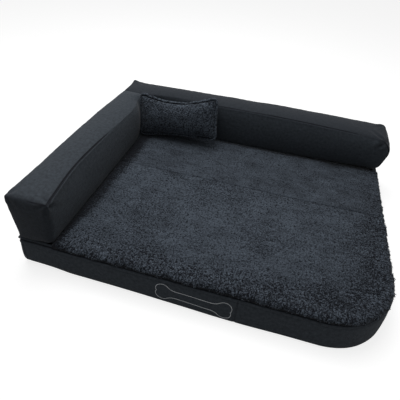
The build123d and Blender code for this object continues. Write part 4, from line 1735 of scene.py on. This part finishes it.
def dot_tree():
    """A low dome on each point."""
    tree, given = new_tree("print dots", {"radius": 2.4 * mm, "height": dot_height})
    dome = add(tree, "GeometryNodeMeshUVSphere", {"Segments": 7, "Rings": 4, "Radius": 1.0})
    sides = {0: given["radius"], 1: given["radius"], 2: given["height"]}
    shape = add(tree, "ShaderNodeCombineXYZ", sides)
    where = {"Points": given["Geometry"], "Instance": dome, "Scale": shape}
    return close_tree(tree, add(tree, "GeometryNodeInstanceOnPoints", where), rubber)


def on_panel(x, y):
    """Whether a dot fits here. The soft front left corner curls under, so it gets fewer."""
    margin = tucked_margin if x + y < -600 * mm else dot_margin
    return edge_distance(np.array([x]), np.array([y]))[0] > margin


spots = [
    (x, y, dot_height)
    for x in np.arange(-487.5 * mm, 488 * mm, dot_pitch)
    for y in np.arange(-383.5 * mm, 384 * mm, dot_pitch)
    if on_panel(x, y)
]
dots = run_tree(new_piece("grip_dots", spots, []), dot_tree())
grip = grip_sheet()
finish_piece(grip, "bed", "grip", "base_grip_panel")
finish_piece(dots, "bed", "grip")
print(len(spots), "dots")

# %% [markdown]
# ## Floor, backdrop and light
# The light is plain and soft: an even world, and one large lamp above and behind, so that
# the tops are lighter than the sides. The white background is seen by the camera and in
# reflections only, so it adds no light to the bed, and the floor keeps the shadow.

# %% Floor and light
world_strength = 0.305
lamp_power, lamp_size = 36.0, 1.6
lamp_place, lamp_aim = (-0.4, 0.4, 2.2), (0, 0, 0.1)
floor_radius, floor_corners = 12, 64
floor_glow = 0.79


def make_floor():
    """A large white disc that shows white to the camera and still takes a shadow."""
    turns = np.linspace(0, 2 * math.pi, floor_corners, endpoint=False)
    rim = [(floor_radius * math.cos(a), floor_radius * math.sin(a), 0) for a in turns]
    floor = new_piece("floor", rim, [tuple(range(floor_corners))])
    material, tree = new_material("white studio floor")
    seen = add(tree, "ShaderNodeLightPath").outputs
    shown = {0: seen["Is Camera Ray"], 1: floor_glow}
    paint = add(tree, "ShaderNodeBsdfDiffuse", {"Color": linear("#aaaaaa")})
    strength = add(tree, "ShaderNodeMath", shown, operation="MULTIPLY")
    glow = add(tree, "ShaderNodeEmission", {"Strength": strength})
    close_material(tree, add(tree, "ShaderNodeAddShader", {0: paint, 1: glow}))
    floor.data.materials.append(material)


def make_world():
    """Even light, with a white background behind the bed."""
    world = bpy.data.worlds.new("studio")
    world.use_nodes = True
    scene.world = world
    tree = world.node_tree
    tree.nodes.clear()
    seen = add(tree, "ShaderNodeLightPath").outputs
    looked_at = seen["Is Camera Ray"]
    for way in ("Is Glossy Ray", "Is Transmission Ray"):
        looked_at = add(tree, "ShaderNodeMath", {0: looked_at, 1: seen[way]}, operation="MAXIMUM")
    levels = {"Value": looked_at, "To Min": world_strength, "To Max": 1.0}
    sky = add(tree, "ShaderNodeBackground", {"Strength": add(tree, "ShaderNodeMapRange", levels)})
    add(tree, "ShaderNodeOutputWorld", {"Surface": sky})


def make_lamp():
    """A square soft lamp that looks at the bed."""
    data = bpy.data.lights.new("top lamp", "AREA")
    data.size = lamp_size
    data.energy = lamp_power
    lamp = bpy.data.objects.new("top lamp", data)
    lamp.location = lamp_place
    lamp.rotation_euler = (Vector(lamp_aim) - Vector(lamp_place)).to_track_quat("-Z", "Y").to_euler()
    scene.collection.objects.link(lamp)


make_floor()
make_world()
make_lamp()
scene.view_settings.view_transform = "Standard"
print("lamp", lamp_power, "W, world", world_strength)
